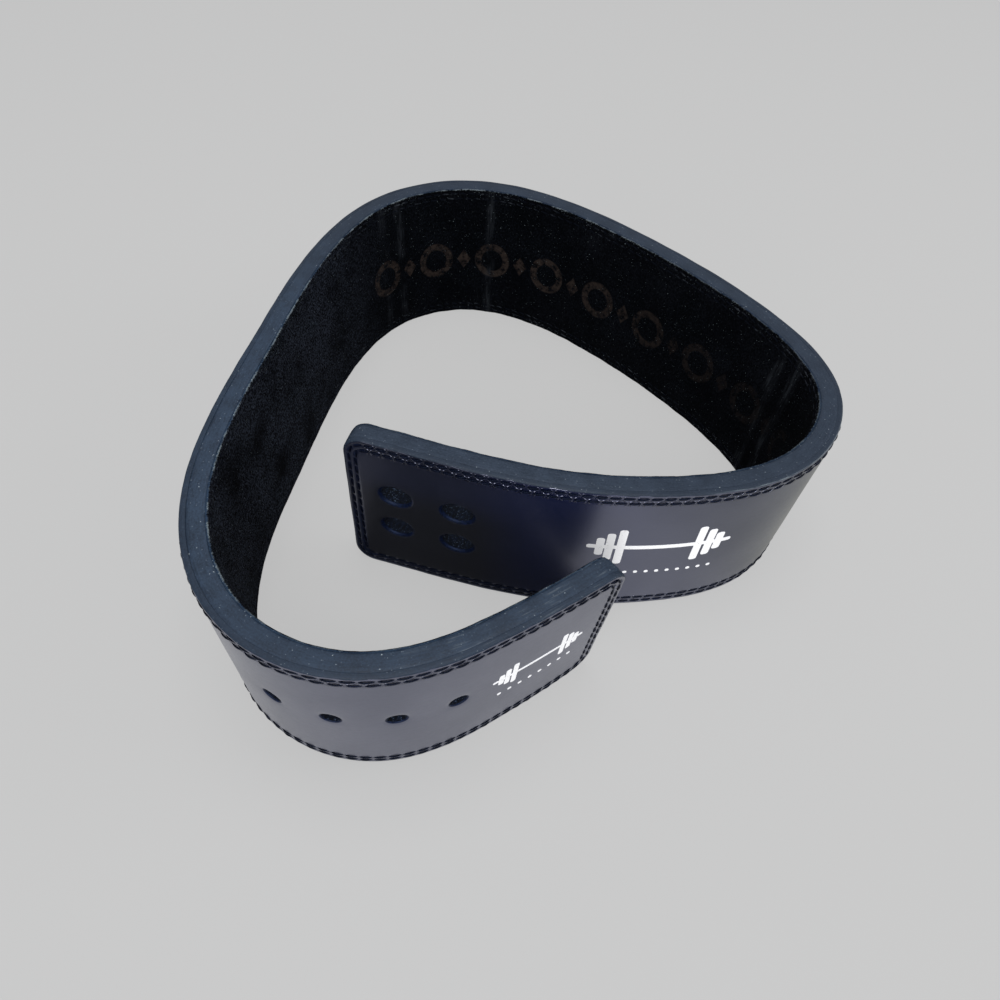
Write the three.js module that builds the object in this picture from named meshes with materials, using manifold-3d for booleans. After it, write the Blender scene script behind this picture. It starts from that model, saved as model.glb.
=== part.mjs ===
// A weightlifting belt: one long strip of layered leather, bent round into an open loop that
// stands on its lower edge. The strip is worked out flat first, by three coordinates: how far
// along the strip (from the tip of the tongue), how far out from its middle layer, and how high.
// One function then carries a flat point to its place on the bent strip.
// Units are millimetres. +Z is up, and the origin is on the floor under the middle of the loop.
import * as THREE from "three";
import { mergeVertices } from "three/addons/utils/BufferGeometryUtils.js";
import Module from "manifold-3d";

const wasm = await Module();
wasm.setup();

// Sizes of the strip
const BELT_LENGTH = 1156;
const BELT_WIDTH = 100;
const FACING_THICKNESS = 3;
const CORE_THICKNESS = 8;
const LINING_THICKNESS = 1.4;
const LAYER_GAP = 0.3; // the glue line between two layers
const CORNER_RADIUS = 12; // of the outline, at all four corners of the strip
const FACING_EDGE_ROUND = 1.2; // the worn edge of the outer face
const LINING_EDGE_ROUND = 0.6; // the softer edge of the inner face
const SKIN_SETBACK = 0.4; // how far facing and lining stop short of the core's trimmed edge

// The row of prong holes in the tongue
const PRONG_HOLE_COUNT = 4;
const PRONG_HOLE_DIAMETER = 8;
const PRONG_HOLE_PITCH = 25.4;
const PRONG_HOLE_FROM_TIP = 83; // from the tongue's tip to the first hole
const PRONG_HOLE_HEIGHT = 54; // above the lower edge

// The two pairs of oval holes that a buckle plate is screwed through, at the other end
const OVAL_HOLE_LENGTH = 17;
const OVAL_HOLE_HEIGHT = 12.6;
const OVAL_HOLE_RIM = 1; // the rounded lip pressed round each hole
const OVAL_COLUMN_FROM_END = 27.5; // from the strip's end to the nearer pair
const OVAL_COLUMN_PITCH = 34;
const OVAL_ROW_PITCH = 25.4;
const OVAL_ROWS_MIDDLE = 50.4; // height of the middle between the two rows

// How fine the facets are
const SECTION_STEP = 11;
const CORNER_STEPS = 7;
const ROUND_STEPS = 2;
const PRONG_HOLE_SIDES = 14;
const OVAL_HOLE_SIDES = 20;
const WALK_STEPS = 1200;

// The strip's bends. at is a share of the belt's length from the tongue's tip, and turn is how many
// degrees the strip turns in a tenth of its length there, less than nothing when it turns clockwise
// seen from above. Between two rows the turn changes evenly.
const BENDS = [
  { at: 0.0, turn: -11 }, // the tongue, nearly straight
  { at: 0.05, turn: -11 },
  { at: 0.1, turn: -98 }, // the near left bend
  { at: 0.15, turn: -90 },
  { at: 0.2, turn: -50 },
  { at: 0.25, turn: -25 },
  { at: 0.3, turn: 4 }, // the left side
  { at: 0.35, turn: -11 },
  { at: 0.4, turn: -28 },
  { at: 0.45, turn: -79 }, // the far bend
  { at: 0.5, turn: -88 },
  { at: 0.55, turn: -36 },
  { at: 0.6, turn: -12 }, // the right side
  { at: 0.65, turn: -14 },
  { at: 0.7, turn: -27 },
  { at: 0.75, turn: -104 }, // the right bend
  { at: 0.8, turn: -93 },
  { at: 0.85, turn: -27 },
  { at: 0.9, turn: -30 },
  { at: 1.0, turn: 12 }, // the end with the oval holes
];
const TIP_HEADING = -138; // degrees from +X, the way the strip runs at the tongue's tip

// How far the strip leans out: at is a share of the length, and lean a share of the height.
const LEANS = [
  { at: 0.0, lean: 0.11 },
  { at: 0.25, lean: 0.025 },
  { at: 0.5, lean: 0.02 },
  { at: 0.75, lean: 0.075 },
  { at: 1.0, lean: -0.005 },
];

// What follows from the sizes
const THICKNESS = FACING_THICKNESS + CORE_THICKNESS + LINING_THICKNESS + 2 * LAYER_GAP;
const OUTER_FACE = THICKNESS / 2;
const FACING_BACK = OUTER_FACE - FACING_THICKNESS;
const CORE_OUTSIDE = FACING_BACK - LAYER_GAP;
const CORE_INSIDE = CORE_OUTSIDE - CORE_THICKNESS;
const LINING_BACK = CORE_INSIDE - LAYER_GAP;
const INNER_FACE = LINING_BACK - LINING_THICKNESS;

const LAYERS = [
  {
    name: "outer_facing",
    from: FACING_BACK,
    to: OUTER_FACE,
    outerRound: FACING_EDGE_ROUND,
    innerRound: 0,
    setback: SKIN_SETBACK,
    material: { color: 0x1d2236, roughness: 0.3, metalness: 0 },
  },
  {
    name: "core_leather",
    from: CORE_INSIDE,
    to: CORE_OUTSIDE,
    outerRound: 0,
    innerRound: 0,
    setback: 0,
    material: { color: 0x3c4857, roughness: 0.6, metalness: 0 },
  },
  {
    name: "suede_lining",
    from: INNER_FACE,
    to: LINING_BACK,
    outerRound: 0,
    innerRound: LINING_EDGE_ROUND,
    setback: SKIN_SETBACK,
    material: { color: 0x0b0c10, roughness: 0.95, metalness: 0 },
  },
];

// The value of one column of a table at a share of the length, even between two rows.
function readTable(table, column, share) {
  const next = table.findIndex((row) => row.at >= share);
  if (next <= 0) return table[next === 0 ? 0 : table.length - 1][column];
  const a = table[next - 1];
  const b = table[next];
  return THREE.MathUtils.mapLinear(share, a.at, b.at, a[column], b[column]);
}

// Walks along the strip's middle line in small straight steps, turning as the table of bends says.
function walkMiddleLine() {
  const stepShare = 1 / WALK_STEPS;
  const step = BELT_LENGTH * stepShare;
  const line = [];
  const here = { x: 0, y: 0, heading: THREE.MathUtils.degToRad(TIP_HEADING) };
  for (let i = 0; i <= WALK_STEPS; i++) {
    line.push({ ...here });
    const turn = readTable(BENDS, "turn", (i + 0.5) * stepShare) * 10;
    const turned = THREE.MathUtils.degToRad(turn) * stepShare;
    here.x += step * Math.cos(here.heading + turned / 2);
    here.y += step * Math.sin(here.heading + turned / 2);
    here.heading += turned;
  }
  return line;
}

const MIDDLE_LINE = walkMiddleLine();

// The middle line's place, heading and lean at a distance from the tongue's tip.
function stationAt(along) {
  const share = THREE.MathUtils.clamp(along / BELT_LENGTH, 0, 1);
  const index = Math.min(Math.floor(share * WALK_STEPS), WALK_STEPS - 1);
  const part = share * WALK_STEPS - index;
  const a = MIDDLE_LINE[index];
  const b = MIDDLE_LINE[index + 1];
  return {
    x: THREE.MathUtils.lerp(a.x, b.x, part),
    y: THREE.MathUtils.lerp(a.y, b.y, part),
    heading: THREE.MathUtils.lerp(a.heading, b.heading, part),
    lean: readTable(LEANS, "lean", share),
  };
}

// Carries a point of the flat strip to the bent one. Out is square to the heading, to its left.
function place(along, out, height) {
  const s = stationAt(along);
  const reach = out + s.lean * height;
  return new THREE.Vector3(
    s.x - Math.sin(s.heading) * reach,
    s.y + Math.cos(s.heading) * reach,
    height,
  );
}

// How far a quarter circle of this radius stands back at a distance from where it starts.
function quarterCircleDrop(radius, distance) {
  if (distance >= radius) return 0;
  return radius - Math.sqrt(radius ** 2 - (radius - distance) ** 2);
}

// Distances at which a quarter circle is cut into even angles.
function quarterCircleSteps(radius, steps) {
  if (radius === 0) return [0];
  return Array.from(
    { length: steps + 1 },
    (_, i) => radius * (1 - Math.cos((i / steps) * (Math.PI / 2))),
  );
}

// The distances along the strip at which a layer has a section, closer at the rounded ends.
function sectionPlaces(layer) {
  const cornerRadius = Math.max(CORNER_RADIUS - layer.setback, SKIN_SETBACK);
  const round = Math.max(layer.outerRound, layer.innerRound);
  const ends = [
    ...quarterCircleSteps(cornerRadius, CORNER_STEPS),
    ...quarterCircleSteps(round, ROUND_STEPS),
  ].sort((a, b) => a - b);
  const closest = cornerRadius / 100;
  const fromEnd = ends.filter((d, i) => i === 0 || d - ends[i - 1] > closest);
  const first = layer.setback;
  const last = BELT_LENGTH - layer.setback;
  const middle = last - first - 2 * cornerRadius;
  const steps = Math.ceil(middle / SECTION_STEP);
  const between = Array.from(
    { length: steps - 1 },
    (_, i) => first + cornerRadius + ((i + 1) / steps) * middle,
  );
  return [
    ...fromEnd.map((d) => first + d),
    ...between,
    ...fromEnd.map((d) => last - d).reverse(),
  ];
}

// One side of a layer's section from its lower edge to its upper edge: [out, height] pairs.
// Its two edges are rounded, and near the strip's ends the whole side drops by the same round.
function sectionSide(face, inward, round, fromEnd, low, high) {
  const endDrop = quarterCircleDrop(round, fromEnd);
  const edge = quarterCircleSteps(round, ROUND_STEPS).map((d) => ({
    in: d,
    drop: Math.max(quarterCircleDrop(round, d), endDrop),
  }));
  const lower = edge.map((e) => [face + inward * e.drop, low + e.in]);
  const upper = edge.map((e) => [face + inward * e.drop, high - e.in]).reverse();
  return [...lower, ...upper];
}

// A whole layer as one closed skin of sections, capped at both ends.
function layerGeometry(layer) {
  const cornerRadius = Math.max(CORNER_RADIUS - layer.setback, SKIN_SETBACK);
  const positions = [];
  const indices = [];
  const places = sectionPlaces(layer);
  let ringSize = 0;
  for (const along of places) {
    const fromEnd = Math.min(along, BELT_LENGTH - along) - layer.setback;
    const inset = layer.setback + quarterCircleDrop(cornerRadius, fromEnd);
    const low = inset;
    const high = BELT_WIDTH - inset;
    const outside = sectionSide(layer.to, -1, layer.outerRound, fromEnd, low, high);
    const inside = sectionSide(layer.from, 1, layer.innerRound, fromEnd, low, high);
    const ring = [...outside, ...inside.reverse()];
    ringSize = ring.length;
    for (const [out, height] of ring) {
      positions.push(...place(along, out, height).toArray());
    }
  }
  for (let section = 0; section < places.length - 1; section++) {
    for (let i = 0; i < ringSize; i++) {
      const a = section * ringSize + i;
      const b = section * ringSize + ((i + 1) % ringSize);
      const c = a + ringSize;
      const d = b + ringSize;
      indices.push(a, b, d, a, d, c);
    }
  }
  const last = (places.length - 1) * ringSize;
  for (let i = 1; i < ringSize - 1; i++) {
    indices.push(0, i + 1, i);
    indices.push(last, last + i, last + i + 1);
  }
  const geometry = new THREE.BufferGeometry();
  geometry.setAttribute("position", new THREE.Float32BufferAttribute(positions, 3));
  geometry.setIndex(indices);
  return geometry;
}

// A closed three.js geometry as a solid that can be cut.
function solidOf(geometry) {
  const bare = geometry.clone();
  bare.deleteAttribute("normal");
  bare.deleteAttribute("uv");
  const merged = mergeVertices(bare, 1e-4);
  return new wasm.Manifold(
    new wasm.Mesh({
      numProp: 3,
      vertProperties: new Float32Array(merged.attributes.position.array),
      triVerts: new Uint32Array(merged.index.array),
    }),
  );
}

// A solid back as a three.js geometry.
function geometryOf(solid) {
  const mesh = solid.getMesh();
  const geometry = new THREE.BufferGeometry();
  geometry.setAttribute("position", new THREE.BufferAttribute(mesh.vertProperties, 3));
  geometry.setIndex(new THREE.BufferAttribute(mesh.triVerts, 1));
  geometry.computeVertexNormals();
  return geometry;
}

// A round or oval punch square to the strip: outerHalf and innerHalf are its half sizes, along the
// strip and across it, where it leaves at outerEnd and at innerEnd, both measured out from the
// strip's middle layer.
function punch(along, height, outerHalf, innerHalf, innerEnd, outerEnd, sides) {
  const s = stationAt(along);
  const runs = new THREE.Vector3(Math.cos(s.heading), Math.sin(s.heading), 0);
  const out = new THREE.Vector3(-Math.sin(s.heading), Math.cos(s.heading), -s.lean).normalize();
  const across = new THREE.Vector3().crossVectors(runs, out);
  const geometry = new THREE.CylinderGeometry(1, 1, outerEnd - innerEnd, sides);
  const position = geometry.attributes.position;
  for (let i = 0; i < position.count; i++) {
    const half = position.getY(i) > 0 ? outerHalf : innerHalf;
    position.setX(i, position.getX(i) * half[0]);
    position.setZ(i, position.getZ(i) * half[1]);
  }
  geometry.translate(0, (outerEnd + innerEnd) / 2, 0);
  const turn = new THREE.Matrix4().makeBasis(runs, out, across);
  geometry.applyMatrix4(turn.setPosition(place(along, 0, height)));
  return solidOf(geometry);
}

// Straight through the whole strip, from well inside it to well outside.
function throughPunch(along, height, half, sides) {
  return punch(along, height, half, half, -THICKNESS, THICKNESS, sides);
}

// The prong holes: a row along the tongue.
function prongPunches() {
  const half = PRONG_HOLE_DIAMETER / 2;
  return Array.from({ length: PRONG_HOLE_COUNT }, (_, i) =>
    throughPunch(
      PRONG_HOLE_FROM_TIP + i * PRONG_HOLE_PITCH,
      PRONG_HOLE_HEIGHT,
      [half, half],
      PRONG_HOLE_SIDES,
    ),
  );
}

// The oval holes: two columns of two, each with a lip that widens to the outer face.
function ovalPunches() {
  const half = [OVAL_HOLE_LENGTH / 2, OVAL_HOLE_HEIGHT / 2];
  const wide = half.map((h) => h + 2 * OVAL_HOLE_RIM);
  const punches = [];
  for (const column of [0, 1]) {
    const along = BELT_LENGTH - OVAL_COLUMN_FROM_END - column * OVAL_COLUMN_PITCH;
    for (const side of [-1, 1]) {
      const height = OVAL_ROWS_MIDDLE + (side * OVAL_ROW_PITCH) / 2;
      punches.push(throughPunch(along, height, half, OVAL_HOLE_SIDES));
      const lipStart = OUTER_FACE - OVAL_HOLE_RIM;
      const lipEnd = OUTER_FACE + OVAL_HOLE_RIM;
      punches.push(punch(along, height, wide, half, lipStart, lipEnd, OVAL_HOLE_SIDES));
    }
  }
  return punches;
}

const punches = [...prongPunches(), ...ovalPunches()];
const loop = new THREE.Group();
const box = new THREE.Box3();
for (const layer of LAYERS) {
  let solid = solidOf(layerGeometry(layer));
  for (const hole of punches) {
    solid = solid.subtract(hole);
  }
  const geometry = geometryOf(solid);
  geometry.computeBoundingBox();
  box.union(geometry.boundingBox);
  const mesh = new THREE.Mesh(geometry, new THREE.MeshStandardMaterial(layer.material));
  mesh.name = layer.name;
  loop.add(mesh);
}

// The loop is moved so that the origin lies on the floor under the middle of its box.
const middle = box.getCenter(new THREE.Vector3());
loop.position.set(-middle.x, -middle.y, -box.min.z);
const belt = new THREE.Group();
belt.add(loop);

export default belt;
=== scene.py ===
# %% [markdown]
# This lesson dresses a weightlifting belt: three layers of leather, 13 mm thick together, bent into
# an open loop that stands on its lower edge. The construction model already holds the layers as
# plain faceted solids, so it is loaded first as a fixed frame, and everything is made around it.

# %% Load the frame
from math import pi, radians

import bpy
import numpy as np
from mathutils import Matrix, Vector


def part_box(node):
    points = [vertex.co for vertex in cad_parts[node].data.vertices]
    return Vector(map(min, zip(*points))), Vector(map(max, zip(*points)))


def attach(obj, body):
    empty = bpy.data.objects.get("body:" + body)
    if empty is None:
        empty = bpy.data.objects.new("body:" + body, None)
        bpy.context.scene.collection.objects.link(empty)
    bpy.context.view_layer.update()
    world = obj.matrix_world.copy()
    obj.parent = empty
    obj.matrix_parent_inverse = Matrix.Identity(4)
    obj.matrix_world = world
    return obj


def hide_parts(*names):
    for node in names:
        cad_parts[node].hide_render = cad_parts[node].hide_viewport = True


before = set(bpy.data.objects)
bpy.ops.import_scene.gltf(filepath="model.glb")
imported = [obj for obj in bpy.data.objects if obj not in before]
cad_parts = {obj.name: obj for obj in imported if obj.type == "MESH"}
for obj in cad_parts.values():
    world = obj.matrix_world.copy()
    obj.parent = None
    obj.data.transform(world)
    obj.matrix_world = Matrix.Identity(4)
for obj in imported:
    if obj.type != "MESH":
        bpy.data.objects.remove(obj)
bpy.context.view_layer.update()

MM = 0.001
print("frame nodes:", sorted(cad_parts))

# %% [markdown]
# The camera comes first, because the picture decides how fine each surface has to be. It stands
# above the near side of the belt, looks down into the loop, and is rolled a little. A rotation
# about the sideways axis tips it down, and one about its own line of sight rolls it.

# %% Camera
CAMERA_PLACE = (-15.58 * MM, -337.13 * MM, 384.90 * MM)
CAMERA_DIPS = radians(49.87)
CAMERA_ROLLS = radians(4.22)
CAMERA_LENS = 28.83
CAMERA_SENSOR = 36

camera_data = bpy.data.cameras.new("camera")
camera_data.lens = CAMERA_LENS
camera_data.sensor_width = CAMERA_SENSOR
camera_data.clip_start = 10 * MM
camera = bpy.data.objects.new("camera", camera_data)
tip_down = Matrix.Rotation(pi / 2 - CAMERA_DIPS, 4, "X")
roll = Matrix.Rotation(CAMERA_ROLLS, 4, "Z")
camera.matrix_world = Matrix.Translation(CAMERA_PLACE) @ tip_down @ roll
bpy.context.scene.collection.objects.link(camera)
bpy.context.scene.camera = camera
print("camera stands", round(CAMERA_PLACE[2] / MM), "mm above the floor")

# %% [markdown]
# The belt is one long strip, so it is drawn flat first. A flat point has three coordinates: along
# the strip from the tongue's tip, height above the lower edge, and out from the strip's middle
# layer. The sizes are those of the construction model.

# %% Sizes of the strip
BELT_LENGTH = 1156 * MM
BELT_WIDTH = 100 * MM
CORNER_RADIUS = 12 * MM
OUTER_FACE = 6.5 * MM
FACING_BACK = 3.5 * MM
CORE_OUTSIDE = 3.2 * MM
CORE_INSIDE = -4.8 * MM
LINING_BACK = -5.1 * MM
INNER_FACE = -6.5 * MM
SKIN_SETBACK = 0.4 * MM

# The strip's bends: at is a share of the belt's length from the tongue's tip, and turn is how many
# degrees the strip turns in a tenth of its length there.
BENDS = [
    {"at": 0.0, "turn": -11},
    {"at": 0.05, "turn": -11},
    {"at": 0.1, "turn": -98},
    {"at": 0.15, "turn": -90},
    {"at": 0.2, "turn": -50},
    {"at": 0.25, "turn": -25},
    {"at": 0.3, "turn": 4},
    {"at": 0.35, "turn": -11},
    {"at": 0.4, "turn": -28},
    {"at": 0.45, "turn": -79},
    {"at": 0.5, "turn": -88},
    {"at": 0.55, "turn": -36},
    {"at": 0.6, "turn": -12},
    {"at": 0.65, "turn": -14},
    {"at": 0.7, "turn": -27},
    {"at": 0.75, "turn": -104},
    {"at": 0.8, "turn": -93},
    {"at": 0.85, "turn": -27},
    {"at": 0.9, "turn": -30},
    {"at": 1.0, "turn": 12},
]
TIP_HEADING = radians(-138)

# How far the strip leans out, as a share of the height.
LEANS = [
    {"at": 0.0, "lean": 0.11},
    {"at": 0.25, "lean": 0.025},
    {"at": 0.5, "lean": 0.02},
    {"at": 0.75, "lean": 0.075},
    {"at": 1.0, "lean": -0.005},
]


def read_table(table, column, share):
    """The value of one column at each share of the length, changing evenly between two rows."""
    return np.interp(share, [row["at"] for row in table], [row[column] for row in table])


print("bends:", len(BENDS), "rows, leans:", len(LEANS), "rows")

# %% [markdown]
# To bend the flat strip, its middle line is walked in small steps that turn as the table says. A
# running sum does the whole walk at once. A flat point then goes to the walked line's place, and
# from there sideways by its out coordinate, so every surface below can be worked out flat. The
# walk starts anywhere, so the strip is moved until its box is centred on the frame's facing.

# %% Bend the strip
WALK_STEPS = 1200

walk_shares = np.linspace(0, 1, WALK_STEPS + 1)
step_middles = (walk_shares[1:] + walk_shares[:-1]) / 2
turns = np.radians(read_table(BENDS, "turn", step_middles) * 10) / WALK_STEPS
walk_heading = TIP_HEADING + np.append(0, np.cumsum(turns))
step_heading = walk_heading[:-1] + turns / 2
walk_x = np.append(0, np.cumsum(np.cos(step_heading))) * BELT_LENGTH / WALK_STEPS
walk_y = np.append(0, np.cumsum(np.sin(step_heading))) * BELT_LENGTH / WALK_STEPS


def strip_points(flat):
    """Flat points (along, height, out) on the bent strip: the middle line's place at along, then
    square to its heading, to the left, by out plus lean times height, and up by height."""
    along, height, out = flat.T
    share = np.clip(along / BELT_LENGTH, 0, 1)
    x = np.interp(share, walk_shares, walk_x)
    y = np.interp(share, walk_shares, walk_y)
    heading = np.interp(share, walk_shares, walk_heading)
    reach = out + read_table(LEANS, "lean", share) * height
    return np.column_stack([x - np.sin(heading) * reach, y + np.cos(heading) * reach, height])


facing_low, facing_high = (np.array(corner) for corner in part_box("outer_facing"))
outline_along = np.tile(np.linspace(0, BELT_LENGTH, WALK_STEPS), 2)
outline_height = np.repeat([facing_low[2], facing_high[2]], WALK_STEPS)
outline = strip_points(
    np.column_stack([outline_along, outline_height, np.full(2 * WALK_STEPS, OUTER_FACE)])
)
off_centre = (facing_low + facing_high - outline.min(0) - outline.max(0)) / 2
walk_x += off_centre[0]
walk_y += off_centre[1]
print("strip moved by", (off_centre[:2] / MM).round(1), "mm")

# %% [markdown]
# Hand work is never quite even. Small wanderings of an edge and slow ripples of a face are sums of
# a few waves whose lengths and phases come from a seeded draw, so they are the same on each run.


# %% Unevenness
EDGE_WAVES = 6
EDGE_SPREAD = 4.3
FACE_WAVES = 7
FACE_SPREAD = 3.1
FACE_ANGLE = 0.9


def wander(distance, longest, size, seed):
    """A wavy value along a line: twice the mean of six sines, times size. Their lengths go from
    the longest down to the longest over the spread."""
    draw = np.random.default_rng(seed)
    lengths = longest / np.linspace(1, EDGE_SPREAD, EDGE_WAVES)
    phases = draw.uniform(0, 2 * pi, EDGE_WAVES)
    waves = [np.sin(2 * pi * distance / a + b) for a, b in zip(lengths, phases)]
    return size * np.mean(waves, axis=0) * 2


def ripple(along, height, longest, size, seed):
    """A wavy value over a face: twice the mean of seven plane waves, times size. Each runs in a
    drawn direction, at most the face angle away from the strip's own."""
    draw = np.random.default_rng(seed)
    lengths = longest / np.linspace(1, FACE_SPREAD, FACE_WAVES)
    directions = draw.uniform(-FACE_ANGLE, FACE_ANGLE, FACE_WAVES)
    phases = draw.uniform(0, 2 * pi, FACE_WAVES)
    waves = [
        np.sin(2 * pi * (along * np.cos(c) + height * np.sin(c)) / a + b)
        for a, b, c in zip(lengths, phases, directions)
    ]
    return size * np.mean(waves, axis=0) * 2


print("ripple of 1 mm at the tongue:", round(float(ripple(0.05, 0.05, 0.1, 1.0, 3)), 3))

# %% [markdown]
# Each layer is a slab with a visible profile all round: the facing's stitched and rounded border,
# the core's trimmed edge, the lining's soft one. A border that runs round corners is a profile
# carried along a path, so the slab is a plain grid in the middle, twelve millimetres in from the
# outline, with rings of points round it. A ring's points stand off from the grid's own border
# points, and fan out round its four corner points, which makes the corners round.

# %% Rings round a grid
CORNER_STEPS = 9


def grid_border(index):
    """Walks once round a grid of point numbers, along first. Gives the border points' numbers and
    the angle in which each looks out. A corner comes up again for each step of its quarter turn."""
    sides = [index[:, 0], index[-1, :], index[::-1, -1], index[0, ::-1]]
    anchors = []
    angles = []
    for quarter, side in enumerate(sides):
        looks = (quarter - 1) * pi / 2
        turning = looks + np.arange(1, CORNER_STEPS) / CORNER_STEPS * pi / 2
        anchors += [side, np.full(CORNER_STEPS - 1, side[-1])]
        angles += [np.full(len(side), looks), turning]
    return np.concatenate(anchors), np.concatenate(angles)


def outline_at(anchors_flat, angles, inset):
    """Points at a distance inside the outline: from each border point outwards, along its angle,
    by the corner radius less the inset."""
    reach = CORNER_RADIUS - inset
    return anchors_flat + np.stack([np.cos(angles), np.sin(angles)], -1) * reach[..., None]


def bands(rows, turned):
    """Four-sided faces between neighbouring rows of point numbers, each row a closed loop."""
    here = rows[:-1]
    below = rows[1:]
    quads = [here, np.roll(here, -1, 1), np.roll(below, -1, 1), below]
    quads = np.stack(quads[::-1] if turned else quads, -1)
    return quads.reshape(-1, 4)


def block_loop(index, i0, i1, j0, j1):
    """Point numbers round a block of a grid, the same way round as its border is walked."""
    return np.concatenate(
        [index[i0:i1, j0], index[i1, j0:j1], index[i1:i0:-1, j1], index[i0, j1:j0:-1]]
    )


print("points in a quarter turn:", CORNER_STEPS + 1)

# %% [markdown]
# Stitches run all round the belt in two rows. Each row lies at one distance inside the outline, so
# its path is again points that stand off from a border. The needle goes in at even distances along
# it. What is shaped by the thread, such as the furrow it lies in, needs to know how many stitches
# come before a place, so that count, the phase, is worked out for any border.

# %% Needle holes
STITCH_INSETS = [3.4 * MM, 6.9 * MM]
STITCH_PITCH = 6.4 * MM
ALONG_STEP = STITCH_PITCH / 4
FACE_STEP = 2.6 * MM


def grid_lines(along_step, height_step):
    """Evenly spaced lines along and up the belt, about a step apart. They run between the middles
    of its round corners."""
    lines = []
    for size, step in ((BELT_LENGTH, along_step), (BELT_WIDTH, height_step)):
        low, high = CORNER_RADIUS, size - CORNER_RADIUS
        lines.append(np.linspace(low, high, round((high - low) / step) + 1))
    return lines


def bordered_grid(along_lines, height_lines):
    """A flat grid as point numbers and as places, then its border's point numbers and angles."""
    index = np.arange(len(along_lines) * len(height_lines))
    index = index.reshape(len(along_lines), len(height_lines))
    grid = np.stack(np.meshgrid(along_lines, height_lines, indexing="ij"), -1).reshape(-1, 2)
    return index, grid, *grid_border(index)


def row_path(anchors_flat, angles, row):
    """A row's points, closed into a loop, and how many stitches lie before each of them: the
    distance travelled over the whole length, times the whole number of stitches that fit."""
    path = outline_at(anchors_flat, angles, np.full(len(angles), row))
    path = np.vstack([path, path[:1]])
    travelled = np.append(0, np.cumsum(np.linalg.norm(np.diff(path, axis=0), axis=1)))
    count = round(travelled[-1] / STITCH_PITCH)
    return path, travelled / travelled[-1] * count


def profile_round(profile, border, angles):
    """Carries a profile round a border. profile(outline, phases) gives the insets and outs of its
    rings at each outline point. Gives the outline's points, the phases and those two arrays."""
    outline_points = outline_at(border, angles, np.zeros(len(border)))
    phases = [row_path(border, angles, row)[1][:-1] for row in STITCH_INSETS]
    return outline_points, phases, *profile(outline_points, phases)


def needle_holes(row):
    """Where the needle goes in on one row: where the phase is a whole number."""
    index, grid, anchors, angles = bordered_grid(*grid_lines(ALONG_STEP, ALONG_STEP))
    path, phase = row_path(grid[anchors], angles, row)
    whole = np.arange(round(phase[-1]) + 1)
    return np.stack([np.interp(whole, phase, path[:, i]) for i in (0, 1)], -1)


print("stitches in the outer row:", len(needle_holes(STITCH_INSETS[0])) - 1)

# %% [markdown]
# The holes go through all three layers: four round ones for the buckle's prong in the tongue, and
# two pairs of ovals at the other end. Cutting them with a boolean would leave a ragged rim. Here a
# block of the grid is left out round each hole, and rings of points close in from the block's
# border to the ellipse, go down the bore and open out again at the back, so the rim is even and
# its lip can be rolled as softly as leather is.

# %% Holes
PRONG_HOLE_FROM_TIP = 83 * MM
PRONG_HOLE_PITCH = 25.4 * MM
PRONG_HOLE_RADIUS = 4 * MM
PRONG_HOLE_HEIGHT = 54 * MM
OVAL_HALF = (8.5 * MM, 6.3 * MM)
OVAL_FROM_END = 27.5 * MM
OVAL_COLUMN_PITCH = 34 * MM
OVAL_ROW_PITCH = 25.4 * MM
OVAL_ROWS_MIDDLE = 50.4 * MM
OVAL_LIP = 2.1 * MM
PRONG_LIP = 0.9 * MM
BLOCK_ROOM = 3.6 * MM

prong_holes = [
    {
        "middle": np.array([PRONG_HOLE_FROM_TIP + i * PRONG_HOLE_PITCH, PRONG_HOLE_HEIGHT]),
        "half": (PRONG_HOLE_RADIUS, PRONG_HOLE_RADIUS),
        "lip": PRONG_LIP,
    }
    for i in range(4)
]
oval_holes = [
    {
        "middle": np.array(
            [
                BELT_LENGTH - OVAL_FROM_END - column * OVAL_COLUMN_PITCH,
                OVAL_ROWS_MIDDLE + (row - 0.5) * OVAL_ROW_PITCH,
            ]
        ),
        "half": OVAL_HALF,
        "lip": OVAL_LIP,
    }
    for column in (0, 1)
    for row in (0, 1)
]
HOLES = prong_holes + oval_holes
FAR = 50 * MM
PHASE_LABELS = ["outer_phase", "inner_phase"]


def hole_block(hole, along_lines, height_lines):
    """The first and last line, each way, of the block of the grid that is left out round a hole."""
    reach = np.add(hole["half"], BLOCK_ROOM)
    block = []
    for axis, lines in enumerate((along_lines, height_lines)):
        block.append(np.searchsorted(lines, hole["middle"][axis] - reach[axis]) - 1)
        block.append(np.searchsorted(lines, hole["middle"][axis] + reach[axis]))
    return block


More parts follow.
